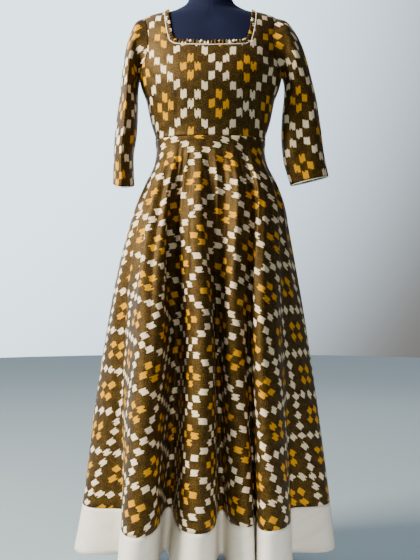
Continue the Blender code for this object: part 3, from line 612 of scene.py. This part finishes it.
# Colours in pairs, between which a finish wanders
CREAM = ((0.9, 0.74, 0.5), (0.7, 0.56, 0.38))
GOLD = ((0.68, 0.335, 0.0), (0.56, 0.165, 0.0))
GROUND = ((0.006, 0.004, 0.0035), (0.082, 0.046, 0.007))
BAND = ((0.9, 0.86, 0.76), (0.83, 0.78, 0.67))
BAND_CLOUDED = (0.8, 0.75, 0.64)
STITCH = (0.62, 0.57, 0.47)
PIPING_CREAM = ((0.92, 0.87, 0.76), (0.78, 0.71, 0.58))
NAVY = ((0.0025, 0.0045, 0.02), (0.0045, 0.008, 0.034))
NAVY_CLOUDED = (0.006, 0.01, 0.038)
BLACK = ((0.02, 0.02, 0.022), (0.045, 0.045, 0.048))
GOLD_STEP = 3.0  # steps off the cream lattice at which the golden blocks lie
THREAD_FEATHER = 0.4
BAND_THREAD = 0.001
HEM_STITCH = 0.009
STITCH_LENGTH = 0.003
STITCH_HALF_WIDTH = 0.0006
TWIST_LENGTH = 0.0016


def ikat_finish():
    """Cotton ikat: a lattice of cream blocks round groups of four golden ones, feathered along the warp."""
    made = new_finish("ikat_cotton_cloth", 0.55, Specular_IOR_Level=0.42, Specular_Tint=(1.0, 0.6, 0.16))
    u, v = cut_places(made)
    bundle = dice((u / BUNDLE).math("FLOOR"))
    thread = dice((u / THREAD).math("FLOOR"))
    drift = grain(u, v, across=28.0, along=28.0, detail=1.0)
    shift = (bundle - 0.5) * FEATHER
    shift = (thread - 0.5).times_plus(FEATHER * THREAD_FEATHER, shift)
    shift = (drift - 0.5).times_plus(DRIFT_ALONG, shift)
    cell_i = (drift - 0.5).times_plus(DRIFT_ACROSS, u).times_plus(1 / BLOCK_WIDE, 0.5)
    block_i = cell_i.math("FLOOR")
    shift = (dice(block_i + 0.37) - 0.5).times_plus(COLUMN_SHIFT, shift)
    cell_j = (v + shift).times_plus(1 / BLOCK_LONG, 0.5)
    block_j = cell_j.math("FLOOR")
    bare_i, bare_j = (ramp((cell.math("FRACT") - 0.5).math("ABSOLUTE"), *BLOCK_SHARE) for cell in (cell_i, cell_j))
    dyed = bare_i.math("MAXIMUM", bare_j).times_plus(-1.0, 1.0)
    from_i, from_j = (block.math("PINGPONG", REPEAT / 2) for block in (block_i, block_j))
    off = (from_i - from_j).math("ABSOLUTE")

    fine = grain(u, v, across=900.0, along=260.0, detail=3.0)
    cloud = grain(u, v, across=60.0, along=60.0, detail=2.0)
    speck = grain(u, v, across=330.0, along=420.0, detail=1.0)
    colour = blend(ramp(cloud.times_plus(0.35, speck * 0.8), 0.48, 0.72), *GROUND)
    cream = blend(ramp(fine, 0.42, 0.75), *CREAM)
    gold = blend(ramp(fine, 0.4, 0.78), *GOLD)
    for steps_off, dye in ((0.0, cream), (GOLD_STEP, gold)):
        colour = blend(off.math("COMPARE", steps_off, 0.5) * dyed, colour, dye)
    return surface(made, colour, fine.times_plus(0.9, weave(u, v, THREAD)), distance=0.00018, strength=0.5)


def band_finish():
    """Off-white plain-woven cotton with a stitched hem along its lower edge."""
    made = new_finish("cream_cotton_band", 0.85, Sheen_Weight=0.08, Sheen_Roughness=0.5)
    u, v = cut_places(made)
    fine = grain(u, v, across=700.0, along=700.0, detail=2.0)
    cloud = grain(u, v, across=22.0, along=22.0, detail=3.0)
    colour = blend(ramp(fine, 0.3, 0.8), *BAND)
    colour = blend(ramp(cloud, 0.45, 0.75), colour, BAND_CLOUDED)
    dash = u.math("PINGPONG", STITCH_LENGTH).math("GREATER_THAN", STITCH_LENGTH * 0.25)
    stitch = (v - HEM_STITCH).math("ABSOLUTE").math("LESS_THAN", STITCH_HALF_WIDTH) * dash
    colour = blend(stitch, colour, STITCH)
    height = weave(u, v, BAND_THREAD) + v.math("LESS_THAN", HEM_STITCH) * 1.2
    return surface(made, colour, cloud.times_plus(3.0, height - stitch * 1.5), distance=0.00025, strength=0.6)


def piping_finish():
    """Cream cotton cut on the bias round a cord."""
    made = new_finish("cream_piping", 0.8)
    u, v = cut_places(made)
    twist = ((u + v) * (2 * math.pi / TWIST_LENGTH)).math("SINE")
    fine = grain(u, v, across=500.0, along=500.0, detail=2.0)
    return surface(made, blend(ramp(fine, 0.3, 0.75), *PIPING_CREAM), twist, distance=0.00012, strength=0.5)


def navy_finish():
    """Navy jersey stretched over the form."""
    made = new_finish(
        "navy_jersey", 0.82, Specular_IOR_Level=0.15,
        Sheen_Weight=0.02, Sheen_Roughness=0.45, Sheen_Tint=(0.5, 0.6, 1.0))
    spot = add_node(made.node_tree, "TexCoord", {}, "Object")
    fine, cloud = noise(spot, detail=2.0, scale=900.0), noise(spot, detail=3.0, scale=9.0)
    colour = blend(ramp(cloud, 0.45, 0.8), blend(ramp(fine, 0.3, 0.75), *NAVY), NAVY_CLOUDED)
    return surface(made, colour, fine, distance=0.0003, strength=0.35)


def steel_finish():
    """Black powder-coated steel."""
    made = new_finish("black_powder_coat", 0.5, Metallic=0.2)
    spot = add_node(made.node_tree, "TexCoord", {}, "Object")
    grit, worn = noise(spot, detail=1.0, scale=1600.0), noise(spot, detail=4.0, scale=12.0)
    set_shader(made, Roughness=worn.times_plus(0.25, 0.36))
    return surface(made, blend(ramp(worn, 0.5, 0.85), *BLACK), grit, distance=0.00012, strength=0.4)


IKAT = ikat_finish()
BAND_COTTON = band_finish()
PIPING = piping_finish()
JERSEY = navy_finish()
STEEL = steel_finish()


def make_cloth(node, grids, finish=IKAT, wall=WALL, offset=-1.0, weld=False):
    """A piece of cloth with its wall, in the place of its solid."""
    cloth = add_sheet(node + "_cloth", grids, finish, weld)
    modifier = cloth.modifiers.new("wall", "SOLIDIFY")
    modifier.thickness, modifier.offset = wall, offset
    pick(cloth)
    bpy.ops.object.modifier_apply(modifier=modifier.name)
    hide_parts(node)
    return cloth


# Where a lattice crossing lies on each piece, seen from the front (or the back)
BODICE_CROSSING = (0.0195, 1.245)
BACK_CROSSING = (0.0, 1.23)
SKIRT_CROSSING_Z = 0.461
# How far the cloth's middle lies from the middle fold's crest, at heights from the hem up
GRAIN_HEIGHTS = [HEM_Z, 0.45, 0.6, 0.69, 0.78, 0.87, 0.95, WAIST_SEAM_Z]
GRAIN_SHIFT = [0.032, 0.032, 0.038, 0.046, 0.058, 0.07, 0.075, 0.076]
SKIRT_MIDDLE_FOLD = 4
BACK_MIDDLE_FOLD = 17


DEEPEST_TROUGH = -0.001
WAIST_ROLL = 0.0018  # how far the bodice's lower edge swells over the seam
WAIST_ROLL_RISE = 0.003
WAIST_ROLL_REACH = 0.004


def panel_grid(panel, side, creases, mirror, crossing, rows):
    """Points and cut places of one grid of the bodice."""
    flip = -1 if mirror else 1
    x = on_form(panel.angle, panel.height)[..., 0] * flip
    lift = ease_at(panel.angle, panel.height) + CLOTH
    lift = lift + np.maximum(relief(creases, x, panel.height), DEEPEST_TROUGH)
    roll = (panel.height - WAIST_SEAM_Z - WAIST_ROLL_RISE) / WAIST_ROLL_REACH
    points = over_form(panel.angle, panel.height, lift + WAIST_ROLL * np.exp(-(roll ** 2)))
    points[..., 1] += np.where(np.abs(panel.angle) < 1e-9, side * SEAM / 2, 0.0)
    points[..., 0] *= flip
    u = girth_from_middle(panel, side) * flip - crossing[0]
    return points, paired(u, rows - crossing[1]), (side > 0) != mirror


def bodice_half(halves, side, creases, mirror, crossing):
    body, strap = halves
    rows = lerp(WAIST_SEAM_Z, body.height[-1], np.linspace(0, 1, PANEL_ROWS + 1)[:, None])
    strap_rows = rows[-1, NECK_COLUMNS * FINE:] + column_lengths(on_form(strap.angle, strap.height))
    return [panel_grid(body, side, creases, mirror, crossing, rows),
            panel_grid(strap, side, creases, mirror, crossing, strap_rows)]


def make_bodice():
    made = {}
    for node, halves, side, creases, mirrors, crossing in (
            ("bodice_front", FRONT_HALF, -1, BODICE_FRONT_CREASES, (False, True), BODICE_CROSSING),
            ("bodice_back_left", BACK_HALF, 1, BODICE_BACK_CREASES, (False,), BACK_CROSSING),
            ("bodice_back_right", BACK_HALF, 1, BODICE_BACK_CREASES, (True,), BACK_CROSSING)):
        grids = [grid for mirror in mirrors for grid in bodice_half(halves, side, creases, mirror, crossing)]
        made[node] = make_cloth(node, grids, weld=True)
    return made


def half_edge(halves, rows, column, strap_column):
    """Angles and heights along an edge of half a front or back: first of its body, then up its strap."""
    return [np.concatenate([low[rows, column], high[1:, strap_column]]) for low, high in zip(*halves)]


def armhole_ring():
    """The armhole's points at +X, from the shoulder down the front and up the back, and their turns."""
    def edge(halves):
        above = halves[0].height[:, -1] > ARMPIT_Z + ARMHOLE_START
        angle, height = half_edge(halves, above, -1, -1)
        return angle[::-1], height[::-1]

    front_angle, front_height = edge(FRONT_HALF)
    back_angle, back_height = edge(BACK_HALF)
    angle = np.concatenate([front_angle, [0.0], back_angle[:0:-1]])
    height = np.concatenate([front_height, [ARMPIT_Z], back_height[:0:-1]])
    places = over_form(angle, height, ease_at(angle, height) + CLOTH)
    away = np.cross(unit(ring_way(places)), form_normal(angle, height))
    inwards = (away[:, 0] < 0) | ((np.abs(away[:, 0]) < 0.2) & (away[:, 2] < 0))
    away[inwards] *= -1
    top, bottom = places[0, 2], ARMPIT_Z
    turn = np.arccos(np.clip((2 * places[:, 2] - top - bottom) / (top - bottom), -1, 1))
    turn[len(front_angle) + 1:] = 2 * math.pi - turn[len(front_angle) + 1:]
    return places + away * SEAM, turn


SLEEVE_ROWS = 120


def sleeve_points(rings, flip):
    """Rows of points from the armhole to the cuff, over the front from the top edge."""
    first, turn = armhole_ring()
    rows = [first]
    for k, (outer_x, outer_z, inner_x, inner_z, depth, roundness, front_drop) in enumerate(rings):
        middle_y = -FORWARD * max(0, k - 1)
        outer, inner = np.array([(outer_x, middle_y, outer_z), (inner_x, middle_y, inner_z)])
        deep = depth * rounded(np.sin(-turn), roundness)
        row = (outer + inner) / 2 + (outer - inner) / 2 * rounded(np.cos(-turn), roundness)[:, None]
        row[:, 1] += deep
        row[:, 2] += front_drop * deep / depth
        rows.append(row)
    rows = np.array(rows)
    stations = np.linspace(0, len(rows) - 1, SLEEVE_ROWS + 1)
    fine = curve_through(np.arange(len(rows)), rows.reshape(len(rows), -1), stations)
    points = fine.reshape(len(stations), -1, 3)
    points[..., 0] *= flip
    return points, turn / (2 * math.pi)


def ring_lengths(points):
    """Length round each row from its first point, with one more column for the way back to it."""
    steps = norm(np.roll(points, -1, axis=1) - points)
    return np.concatenate([np.zeros((len(points), 1)), np.cumsum(steps, axis=1)], axis=1)


FLAT_ROUNDS = 1500
FLAT_PULL = 0.12


def lay_flat(points, uvs):
    """Cut places eased until the lengths between neighbours on the flat are those on the worn cloth."""
    rest, most, every = slice(1, None), slice(None, -1), slice(None)
    pairs = [((every, rest), (every, most)), ((rest, every), (most, every))]
    pairs += [((rest, rest), (most, most)), ((rest, most), (most, rest))]
    lengths = [norm(points[a] - points[b]) for a, b in pairs]
    uvs = uvs.copy()
    for _ in range(FLAT_ROUNDS):
        push = np.zeros_like(uvs)
        for (a, b), length in zip(pairs, lengths):
            step = uvs[a] - uvs[b]
            now = np.maximum(norm(step), 1e-9)
            move = step * (FLAT_PULL * (length / now - 1))[..., None]
            push[a] += move
            push[b] -= move
        uvs += push
    return uvs


# Middles of a golden group on each sleeve, seen from the front
SLEEVE_LEFT_GROUP = (0.214, -0.05, 1.185)
SLEEVE_RIGHT_GROUP = (-0.209, -0.05, 1.166)
ARMHOLE_FADE = 0.02  # metres below the armhole seam over which a sleeve's creases begin


def make_sleeve(node, rings, flip, creases, group):
    points, share = sleeve_points(rings, flip)
    normals = grid_normals(points, points - points.mean(axis=1, keepdims=True))
    fade = np.clip(column_lengths(points) / ARMHOLE_FADE, 0, 1)
    points = points + normals * (relief(creases, share[None, :], points[..., 2], SLEEVE_GIRTH) * fade)[..., None]
    lengths = ring_lengths(points)
    down = column_lengths(points)
    down = np.concatenate([down, down[:, :1]], axis=1)
    nearest = norm(points - np.array(group)).argmin()
    row, column = divmod(int(nearest), points.shape[1])
    up = down[-1:] - down
    around = lengths - lengths[:, column, None]
    closed = np.concatenate([points, points[:, :1]], axis=1)
    uvs = lay_flat(closed, paired(around, up))
    uvs = uvs - uvs[row, column] + (0.0, REPEAT / 2 * BLOCK_LONG)
    return make_cloth(node, [(points, uvs, flip > 0)]), points


PIPING_SIDES = 10


def make_cord(node, path):
    """Piping along a closed ring of points."""
    along = unit(ring_way(path))
    out = path - path.mean(axis=0)
    out = unit(out - (out * along).sum(-1, keepdims=True) * along)
    up = np.cross(along, out)
    turn = np.linspace(0, 2 * math.pi, PIPING_SIDES, endpoint=False)
    ring = np.cos(turn)[:, None, None] * out[None] + np.sin(turn)[:, None, None] * up[None]
    points = path[None] + PIPING_RADIUS * np.concatenate([ring, ring[:1]])
    length = ring_lengths(path[None])[0]
    girth = np.linspace(0, 2 * math.pi * PIPING_RADIUS, PIPING_SIDES + 1)[:, None]
    uvs = paired(length[None, :], girth)
    cord = add_sheet(node + "_cord", [(points, uvs, True)], PIPING, weld=True)
    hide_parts(node)
    return cord


def make_cuff_piping(node, points):
    last = points[-1]
    path = last + unit(last - points[-2]) * (SEAM + PIPING_RADIUS)
    return make_cord(node, path + unit(path.mean(axis=0) - path) * WALL / 2)


def neckline():
    """The neckline as angles and heights, anticlockwise seen from above, from the middle of the back."""
    to_corner = slice(NECK_COLUMNS * FINE + 1)
    front_angle, front_height = half_edge(FRONT_HALF, -1, to_corner, 0)
    back_angle, back_height = half_edge(BACK_HALF, -1, to_corner, 0)
    back_angle[0] = math.pi / 2
    angle = [math.pi - back_angle, -math.pi - front_angle[-2::-1], front_angle[1:], back_angle[-2:0:-1]]
    height = [back_height, front_height[-2::-1], front_height[1:], back_height[-2:0:-1]]
    return np.concatenate(angle), np.concatenate(height)


NECK_ANGLE, NECK_HEIGHT = neckline()


def beside_neckline(inward, lift, sample=None):
    """Points inwards of the neckline, off the form. sample picks even places along it."""
    places = on_form(NECK_ANGLE, NECK_HEIGHT)
    along = unit(ring_way(places))
    direction = unit(np.cross(form_normal(NECK_ANGLE, NECK_HEIGHT), along))
    target = places + direction * inward
    angle, height = nearest_on_form(target, NECK_ANGLE, NECK_HEIGHT)
    if sample is None:
        return over_form(angle, height, lift)
    base, normals = on_form(angle, height), form_normal(angle, height)
    steps = norm(np.roll(places, -1, axis=0) - places)
    length = np.concatenate([[0], np.cumsum(steps)])
    wanted = sample * length[-1]
    both = np.concatenate([base, normals], axis=1)
    both = np.concatenate([both, both[:1]])
    found = np.stack([np.interp(wanted, length, both[:, k]) for k in range(6)], axis=1)
    return found[:, :3] + unit(found[:, 3:]) * np.asarray(lift)[:, None]


GATHER_STEPS = 10
GATHER_SIZES = (0.65, 1.0)
GATHER_LEAN = 0.25
GATHER_SHARPNESS = 1.3
FRILL_ROWS = 7
FRILL_CUT = (1.02, 0.0105)
FRILL_GRAIN = 0.0475
FRILL_WALL = 0.0006
FRILL_LIFT = 0.0018
FRILL_WAVES = (0.0016, 0.0044)  # height of a gather at the sewn edge and at the free edge
FRILL_BELLY = 0.0006


def make_frill():
    """The gathered frill: fine at its sewn edge, in open waves at its free edge."""
    count = GATHERS * GATHER_STEPS
    share = np.arange(count) / count
    rng = np.random.default_rng(7)
    size = rng.uniform(*GATHER_SIZES, GATHERS)
    lean = rng.uniform(-GATHER_LEAN, GATHER_LEAN, GATHERS)
    gather = np.arange(count) // GATHER_STEPS
    phase = (np.arange(count) % GATHER_STEPS) / GATHER_STEPS
    root = 2 * SEAM + 2 * PIPING_RADIUS
    rows = []
    for j in range(FRILL_ROWS + 1):
        f = j / FRILL_ROWS
        turn = 2 * math.pi * (phase + lean[gather] * f * np.sin(math.pi * phase))
        wave = (0.5 - 0.5 * np.cos(turn)) ** GATHER_SHARPNESS
        lift = FRILL_LIFT + wave * size[gather] * lerp(*FRILL_WAVES, f) + FRILL_BELLY * np.sin(math.pi * f)
        rows.append(beside_neckline(root + FRILL_WIDTH * f, lift, share))
    points = np.array(rows)
    along = np.linspace(0, FRILL_CUT[0], count + 1)[None, :]
    down = np.linspace(0, FRILL_WIDTH, FRILL_ROWS + 1)[:, None]
    uvs = paired(along, down + FRILL_GRAIN)
    return make_cloth("neck_frill", [(points, uvs, False)], wall=FRILL_WALL, offset=1.0)


SPAN_STEPS = 18
FRONT_COLUMNS = len(FRONT_FOLDS) * SPAN_STEPS
SKIRT_FINE_ROWS = 104
BAND_ROWS = 12


def skirt_ring(height):
    """The skirt's closed section at a height, from the right side seam round the front."""
    half_width, front, back, roundness = sections(SKIRT, height)[:, 0]
    hem_half, hem_front, hem_back, _ = sections(SKIRT, HEM_Z)[:, 0]
    sway = curve_through(SWAY_HEIGHTS, SWAY, height)[0]
    depth_share = max(0.0, (FOLD_START_Z - height) / (FOLD_START_Z - HEM_Z)) ** FOLD_GROWTH
    knots, reach = [], []
    for folds, side, depth, hem_depth in ((FRONT_FOLDS, -1, front, hem_front), (BACK_FOLDS, 1, back, hem_back)):
        for top, middle, hem, hem_y, width in folds:
            share = curve_through(FOLD_HEIGHTS, [hem, middle, top], height)[0]
            plain = side * depth * (1 - abs(share) ** roundness) ** (1 / roundness)
            knots.append((share * half_width + sway, lerp(plain, hem_y * depth / hem_depth, depth_share)))
            reach.append(width * CREST_REACH * half_width / hem_half)
    knots, reach = np.array(knots), np.array(reach)
    way = ring_way(knots) / 2
    way *= lerp(1.0, reach / np.linalg.norm(way, axis=1), depth_share)[:, None]
    t = (np.arange(SPAN_STEPS) / SPAN_STEPS)[None, :, None]
    ends = np.roll(knots, -1, axis=0)
    end_way = np.roll(way, -1, axis=0)
    ring = cubic(knots[:, None], ends[:, None], way[:, None], end_way[:, None], t).reshape(-1, 2)
    if height >= FORM_FOOT_Z - FORM_REACH:
        wide, deep_front, deep_back, power = sections(FORM, max(height, FORM_FOOT_Z))[:, 0]
        room = (FORM_CLEAR if height < HIPS_TOP_Z else EASE) + CLOTH
        deep = np.where(ring[:, 1] < 0, deep_front, deep_back) + room
        inside = (np.abs(ring[:, 0] / (wide + room)) ** power + np.abs(ring[:, 1] / deep) ** power) ** (1 / power)
        ring = ring / np.minimum(inside, 1.0)[:, None]
    return np.concatenate([ring, np.full((len(ring), 1), height)], axis=1)


def skirt_grid(heights):
    points = np.array([skirt_ring(height) for height in heights])
    normals = grid_normals(points, points * (1, 1, 0))
    number = np.arange(points.shape[1]) / SPAN_STEPS
    lift = relief(SKIRT_CREASES, number[None, :], points[..., 2], FOLD_WIDTH)
    return points + normals * (CLOTH + lift)[..., None]


def skirt_part(grid, front):
    if front:
        part = grid[:, :FRONT_COLUMNS + 1].copy()
    else:
        part = np.concatenate([grid[:, FRONT_COLUMNS:], grid[:, :1]], axis=1)
    for end, inner in ((0, 1), (-1, -2)):
        part[:, end] += unit(part[:, inner] - part[:, end]) * SEAM / 2
    return part


ROW_CROWDING = 0.75  # share of the rows' spacing that narrows towards the waist


def make_skirt():
    made = {}
    share = np.linspace(0, 1, SKIRT_FINE_ROWS + 1)
    heights = lerp(WAIST_SEAM_Z - WAIST_GAP, BAND_TOP_Z, lerp(share, share**1.5, ROW_CROWDING))
    grid = skirt_grid(heights)
    band = skirt_grid(np.linspace(BAND_TOP_Z - SEAM, HEM_Z, BAND_ROWS + 1))
    lengths = ring_lengths(grid)
    radius = (SKIRT_RADIUS + (WAIST_SEAM_Z - heights) * SKIRT_SLANT)[:, None]
    crossing = SKIRT_RADIUS + (WAIST_SEAM_Z - SKIRT_CROSSING_Z) * SKIRT_SLANT
    front_shift = curve_through(GRAIN_HEIGHTS, GRAIN_SHIFT, heights)[:, None]
    for part, middle, shift in (("front", SKIRT_MIDDLE_FOLD, front_shift), ("back", BACK_MIDDLE_FOLD, 0.0)):
        front = part == "front"
        around = lengths[:, :FRONT_COLUMNS + 1] if front else lengths[:, FRONT_COLUMNS:]
        turn = math.pi * (around - lengths[:, middle * SPAN_STEPS, None]) / lengths[:, -1:]
        uvs = paired(radius * np.cos(turn) - crossing, radius * np.sin(turn) + shift)
        made["skirt_" + part] = make_cloth("skirt_" + part, [(skirt_part(grid, front), uvs, True)])
        points = skirt_part(band, front)
        along = column_lengths(np.swapaxes(points, 0, 1)).T
        uvs = paired(along, points[:, :1, 2] - HEM_Z)
        made["hem_band_" + part] = make_cloth("hem_band_" + part, [(points, uvs, True)], BAND_COTTON)
    return made


FORM_COLUMNS = 96
FORM_SHOULDER_Z = (1.38, 1.3815)  # the last of the wide rows and the first of the close ones
FORM_TOP_Z = 1.497
SEAM_GROOVE = 0.0007
SEAM_GROOVE_TURN = 0.02
# The neck's rounded top, as share of its last ring and height over it, and the torso's closed foot
FORM_CAP = ((0.985, 0.0018), (0.95, 0.0028), (0.9, 0.003), (0.86, 0.0018), (0.5, 0.0018), (0.02, 0.0018))
FORM_SOLE = (0.02, 0.5, 0.9)


def make_form():
    """The torso's jersey cover with its middle seams, and the closed neck."""
    low, high = FORM_SHOULDER_Z
    heights = np.concatenate([np.linspace(FORM_FOOT_Z, low, 90), np.linspace(high, FORM_TOP_Z, 84)])
    angle = np.arange(FORM_COLUMNS) * 2 * math.pi / FORM_COLUMNS - math.pi
    z, a = np.meshgrid(heights, angle, indexing="ij")
    groove = np.zeros(z.shape)
    for seam in (-math.pi / 2, math.pi / 2):
        groove += SEAM_GROOVE * (np.abs(a - seam) < SEAM_GROOVE_TURN)
    points = over_form(a, z, -groove)
    cap = [points[-1] * (1, 1, 0) * share + (0, 0, FORM_TOP_Z + rise) for share, rise in FORM_CAP]
    sole = [points[0] * (1, 1, 0) * share + (0, 0, FORM_FOOT_Z) for share in FORM_SOLE]
    points = np.concatenate([sole, points, cap])
    uvs = np.zeros((points.shape[0], FORM_COLUMNS + 1, 2))
    cover = add_sheet("form_torso_cover", [(points, uvs, False)], JERSEY)
    close_ends(cover)
    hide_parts("form_torso")
    return cover


# Radius and height along the outlines of the base and the pole
BASE_OUTLINE = [
    (BASE_RADIUS - 0.003, 0.0), (BASE_RADIUS, 0.003), (BASE_RADIUS, 0.008), (BASE_RADIUS - 0.002, 0.0118),
    (BASE_RADIUS - 0.007, BASE_HEIGHT), (0.034, BASE_HEIGHT + 0.0008), (0.03, BASE_HEIGHT + 0.004),
    (0.026, BASE_HEIGHT + 0.022), (0.024, BASE_HEIGHT + 0.025), (POLE_RADIUS + 0.0004, BASE_HEIGHT + 0.025),
]
POLE_OUTLINE = [
    (POLE_RADIUS, BASE_HEIGHT + 0.001), (POLE_RADIUS, 0.76), (0.022, 0.762), (0.024, 0.765), (0.024, 0.786),
    (0.022, 0.7895),
]
SHARP_EDGE = math.radians(35)


def make_turned(node, name, outline, sides):
    """A piece of black steel turned round the upright axis."""
    turns = np.arange(sides) * 2 * math.pi / sides
    points = np.array([[(r * math.cos(a), r * math.sin(a), z) for a in turns] for r, z in outline])
    piece = add_sheet(name, [(points, np.zeros((len(outline), sides + 1, 2)), False)], STEEL)
    close_ends(piece)
    pick(piece)
    bpy.ops.object.shade_smooth_by_angle(angle=SHARP_EDGE)
    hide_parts(node)


CAMERA_PLACE = (-0.00125, -2.0, 0.7425)
SENSOR = 36.0
FOCAL_SHARE = 800 / 560  # focal length as a share of the picture's height
# Name, place, target, size, watts, colour and spread in degrees
LIGHTS = [
    ("window", (-2.55, -1.1, 2.55), (0, 0, 0.82), (1.2, 1.4), 350, (1.0, 0.93, 0.82), 180),
    ("back_fill", (0.8, 3.0, 2.2), (0, 0, 0.8), (2.2, 1.6), 18, (0.95, 0.97, 1.0), 180),
    ("low_fill", (0.3, -1.7, 0.1), (0, 0, 0.06), (1.2, 0.2), 1.7, (1.0, 0.97, 0.92), 45),
]
# The room's light: dim in front, bright behind and to the left
ROOM_WAY = (-0.5, 0.87, 0.4)
ROOM_EDGE = (0.67, 1.02)
ROOM_DIM = (0.225, 0.218, 0.205)
ROOM_BRIGHT = (2.1, 2.6, 3.0)
FLOOR_COLOUR = (0.3, 0.36, 0.39)


def make_studio():
    """Camera at the photograph's place, a pale floor, a large window on the left and weak fills."""
    data = bpy.data.cameras.new("camera")
    data.sensor_width = SENSOR
    data.lens = FOCAL_SHARE * SENSOR
    camera = add_object("camera", data)
    camera.location = CAMERA_PLACE
    camera.rotation_euler = (math.pi / 2, 0, 0)
    bpy.context.scene.camera = camera
    for name, place, target, size, watts, colour, spread in LIGHTS:
        data = bpy.data.lights.new(name, "AREA")
        data.shape = "RECTANGLE"
        data.size, data.size_y = size
        data.energy, data.color, data.spread = watts, colour, math.radians(spread)
        lamp = add_object(name, data)
        lamp.location = place
        lamp.rotation_mode = "QUATERNION"
        lamp.rotation_quaternion = (Vector(target) - lamp.location).to_track_quat("-Z", "Y")
    world = bpy.data.worlds.new("studio")
    world.use_nodes = True
    tree = world.node_tree
    x, y, z = split(add_node(tree, "TexCoord", {}, "Generated"))
    behind = z.times_plus(ROOM_WAY[2], x.times_plus(ROOM_WAY[0], y * ROOM_WAY[1]))
    plug(tree.nodes["Background"].inputs[0], blend(ramp(behind, *ROOM_EDGE), ROOM_DIM, ROOM_BRIGHT))
    bpy.context.scene.world = world
    bpy.ops.mesh.primitive_circle_add(vertices=64, radius=6.0, fill_type="NGON", location=(0, 0, 0))
    floor = bpy.context.object
    floor.name = "floor"
    floor.data.materials.append(new_finish("pale_floor", 0.9, Base_Color=FLOOR_COLOUR))


make_studio()
bodice = make_bodice()
sleeve_left, left_points = make_sleeve("sleeve_left", SLEEVE_LEFT, 1, SLEEVE_LEFT_CREASES, SLEEVE_LEFT_GROUP)
sleeve_right, right_points = make_sleeve("sleeve_right", SLEEVE_RIGHT, -1, SLEEVE_RIGHT_CREASES, SLEEVE_RIGHT_GROUP)
left_cord = make_cuff_piping("cuff_piping_left", left_points)
right_cord = make_cuff_piping("cuff_piping_right", right_points)
neck_cord = make_cord("neck_piping", beside_neckline(SEAM + PIPING_RADIUS, EASE + CLOTH))
frill = make_frill()
skirt = make_skirt()
torso = make_form()
make_turned("form_base", "form_base_disc", BASE_OUTLINE, 96)
make_turned("form_pole", "form_pole_tube", POLE_OUTLINE, 48)
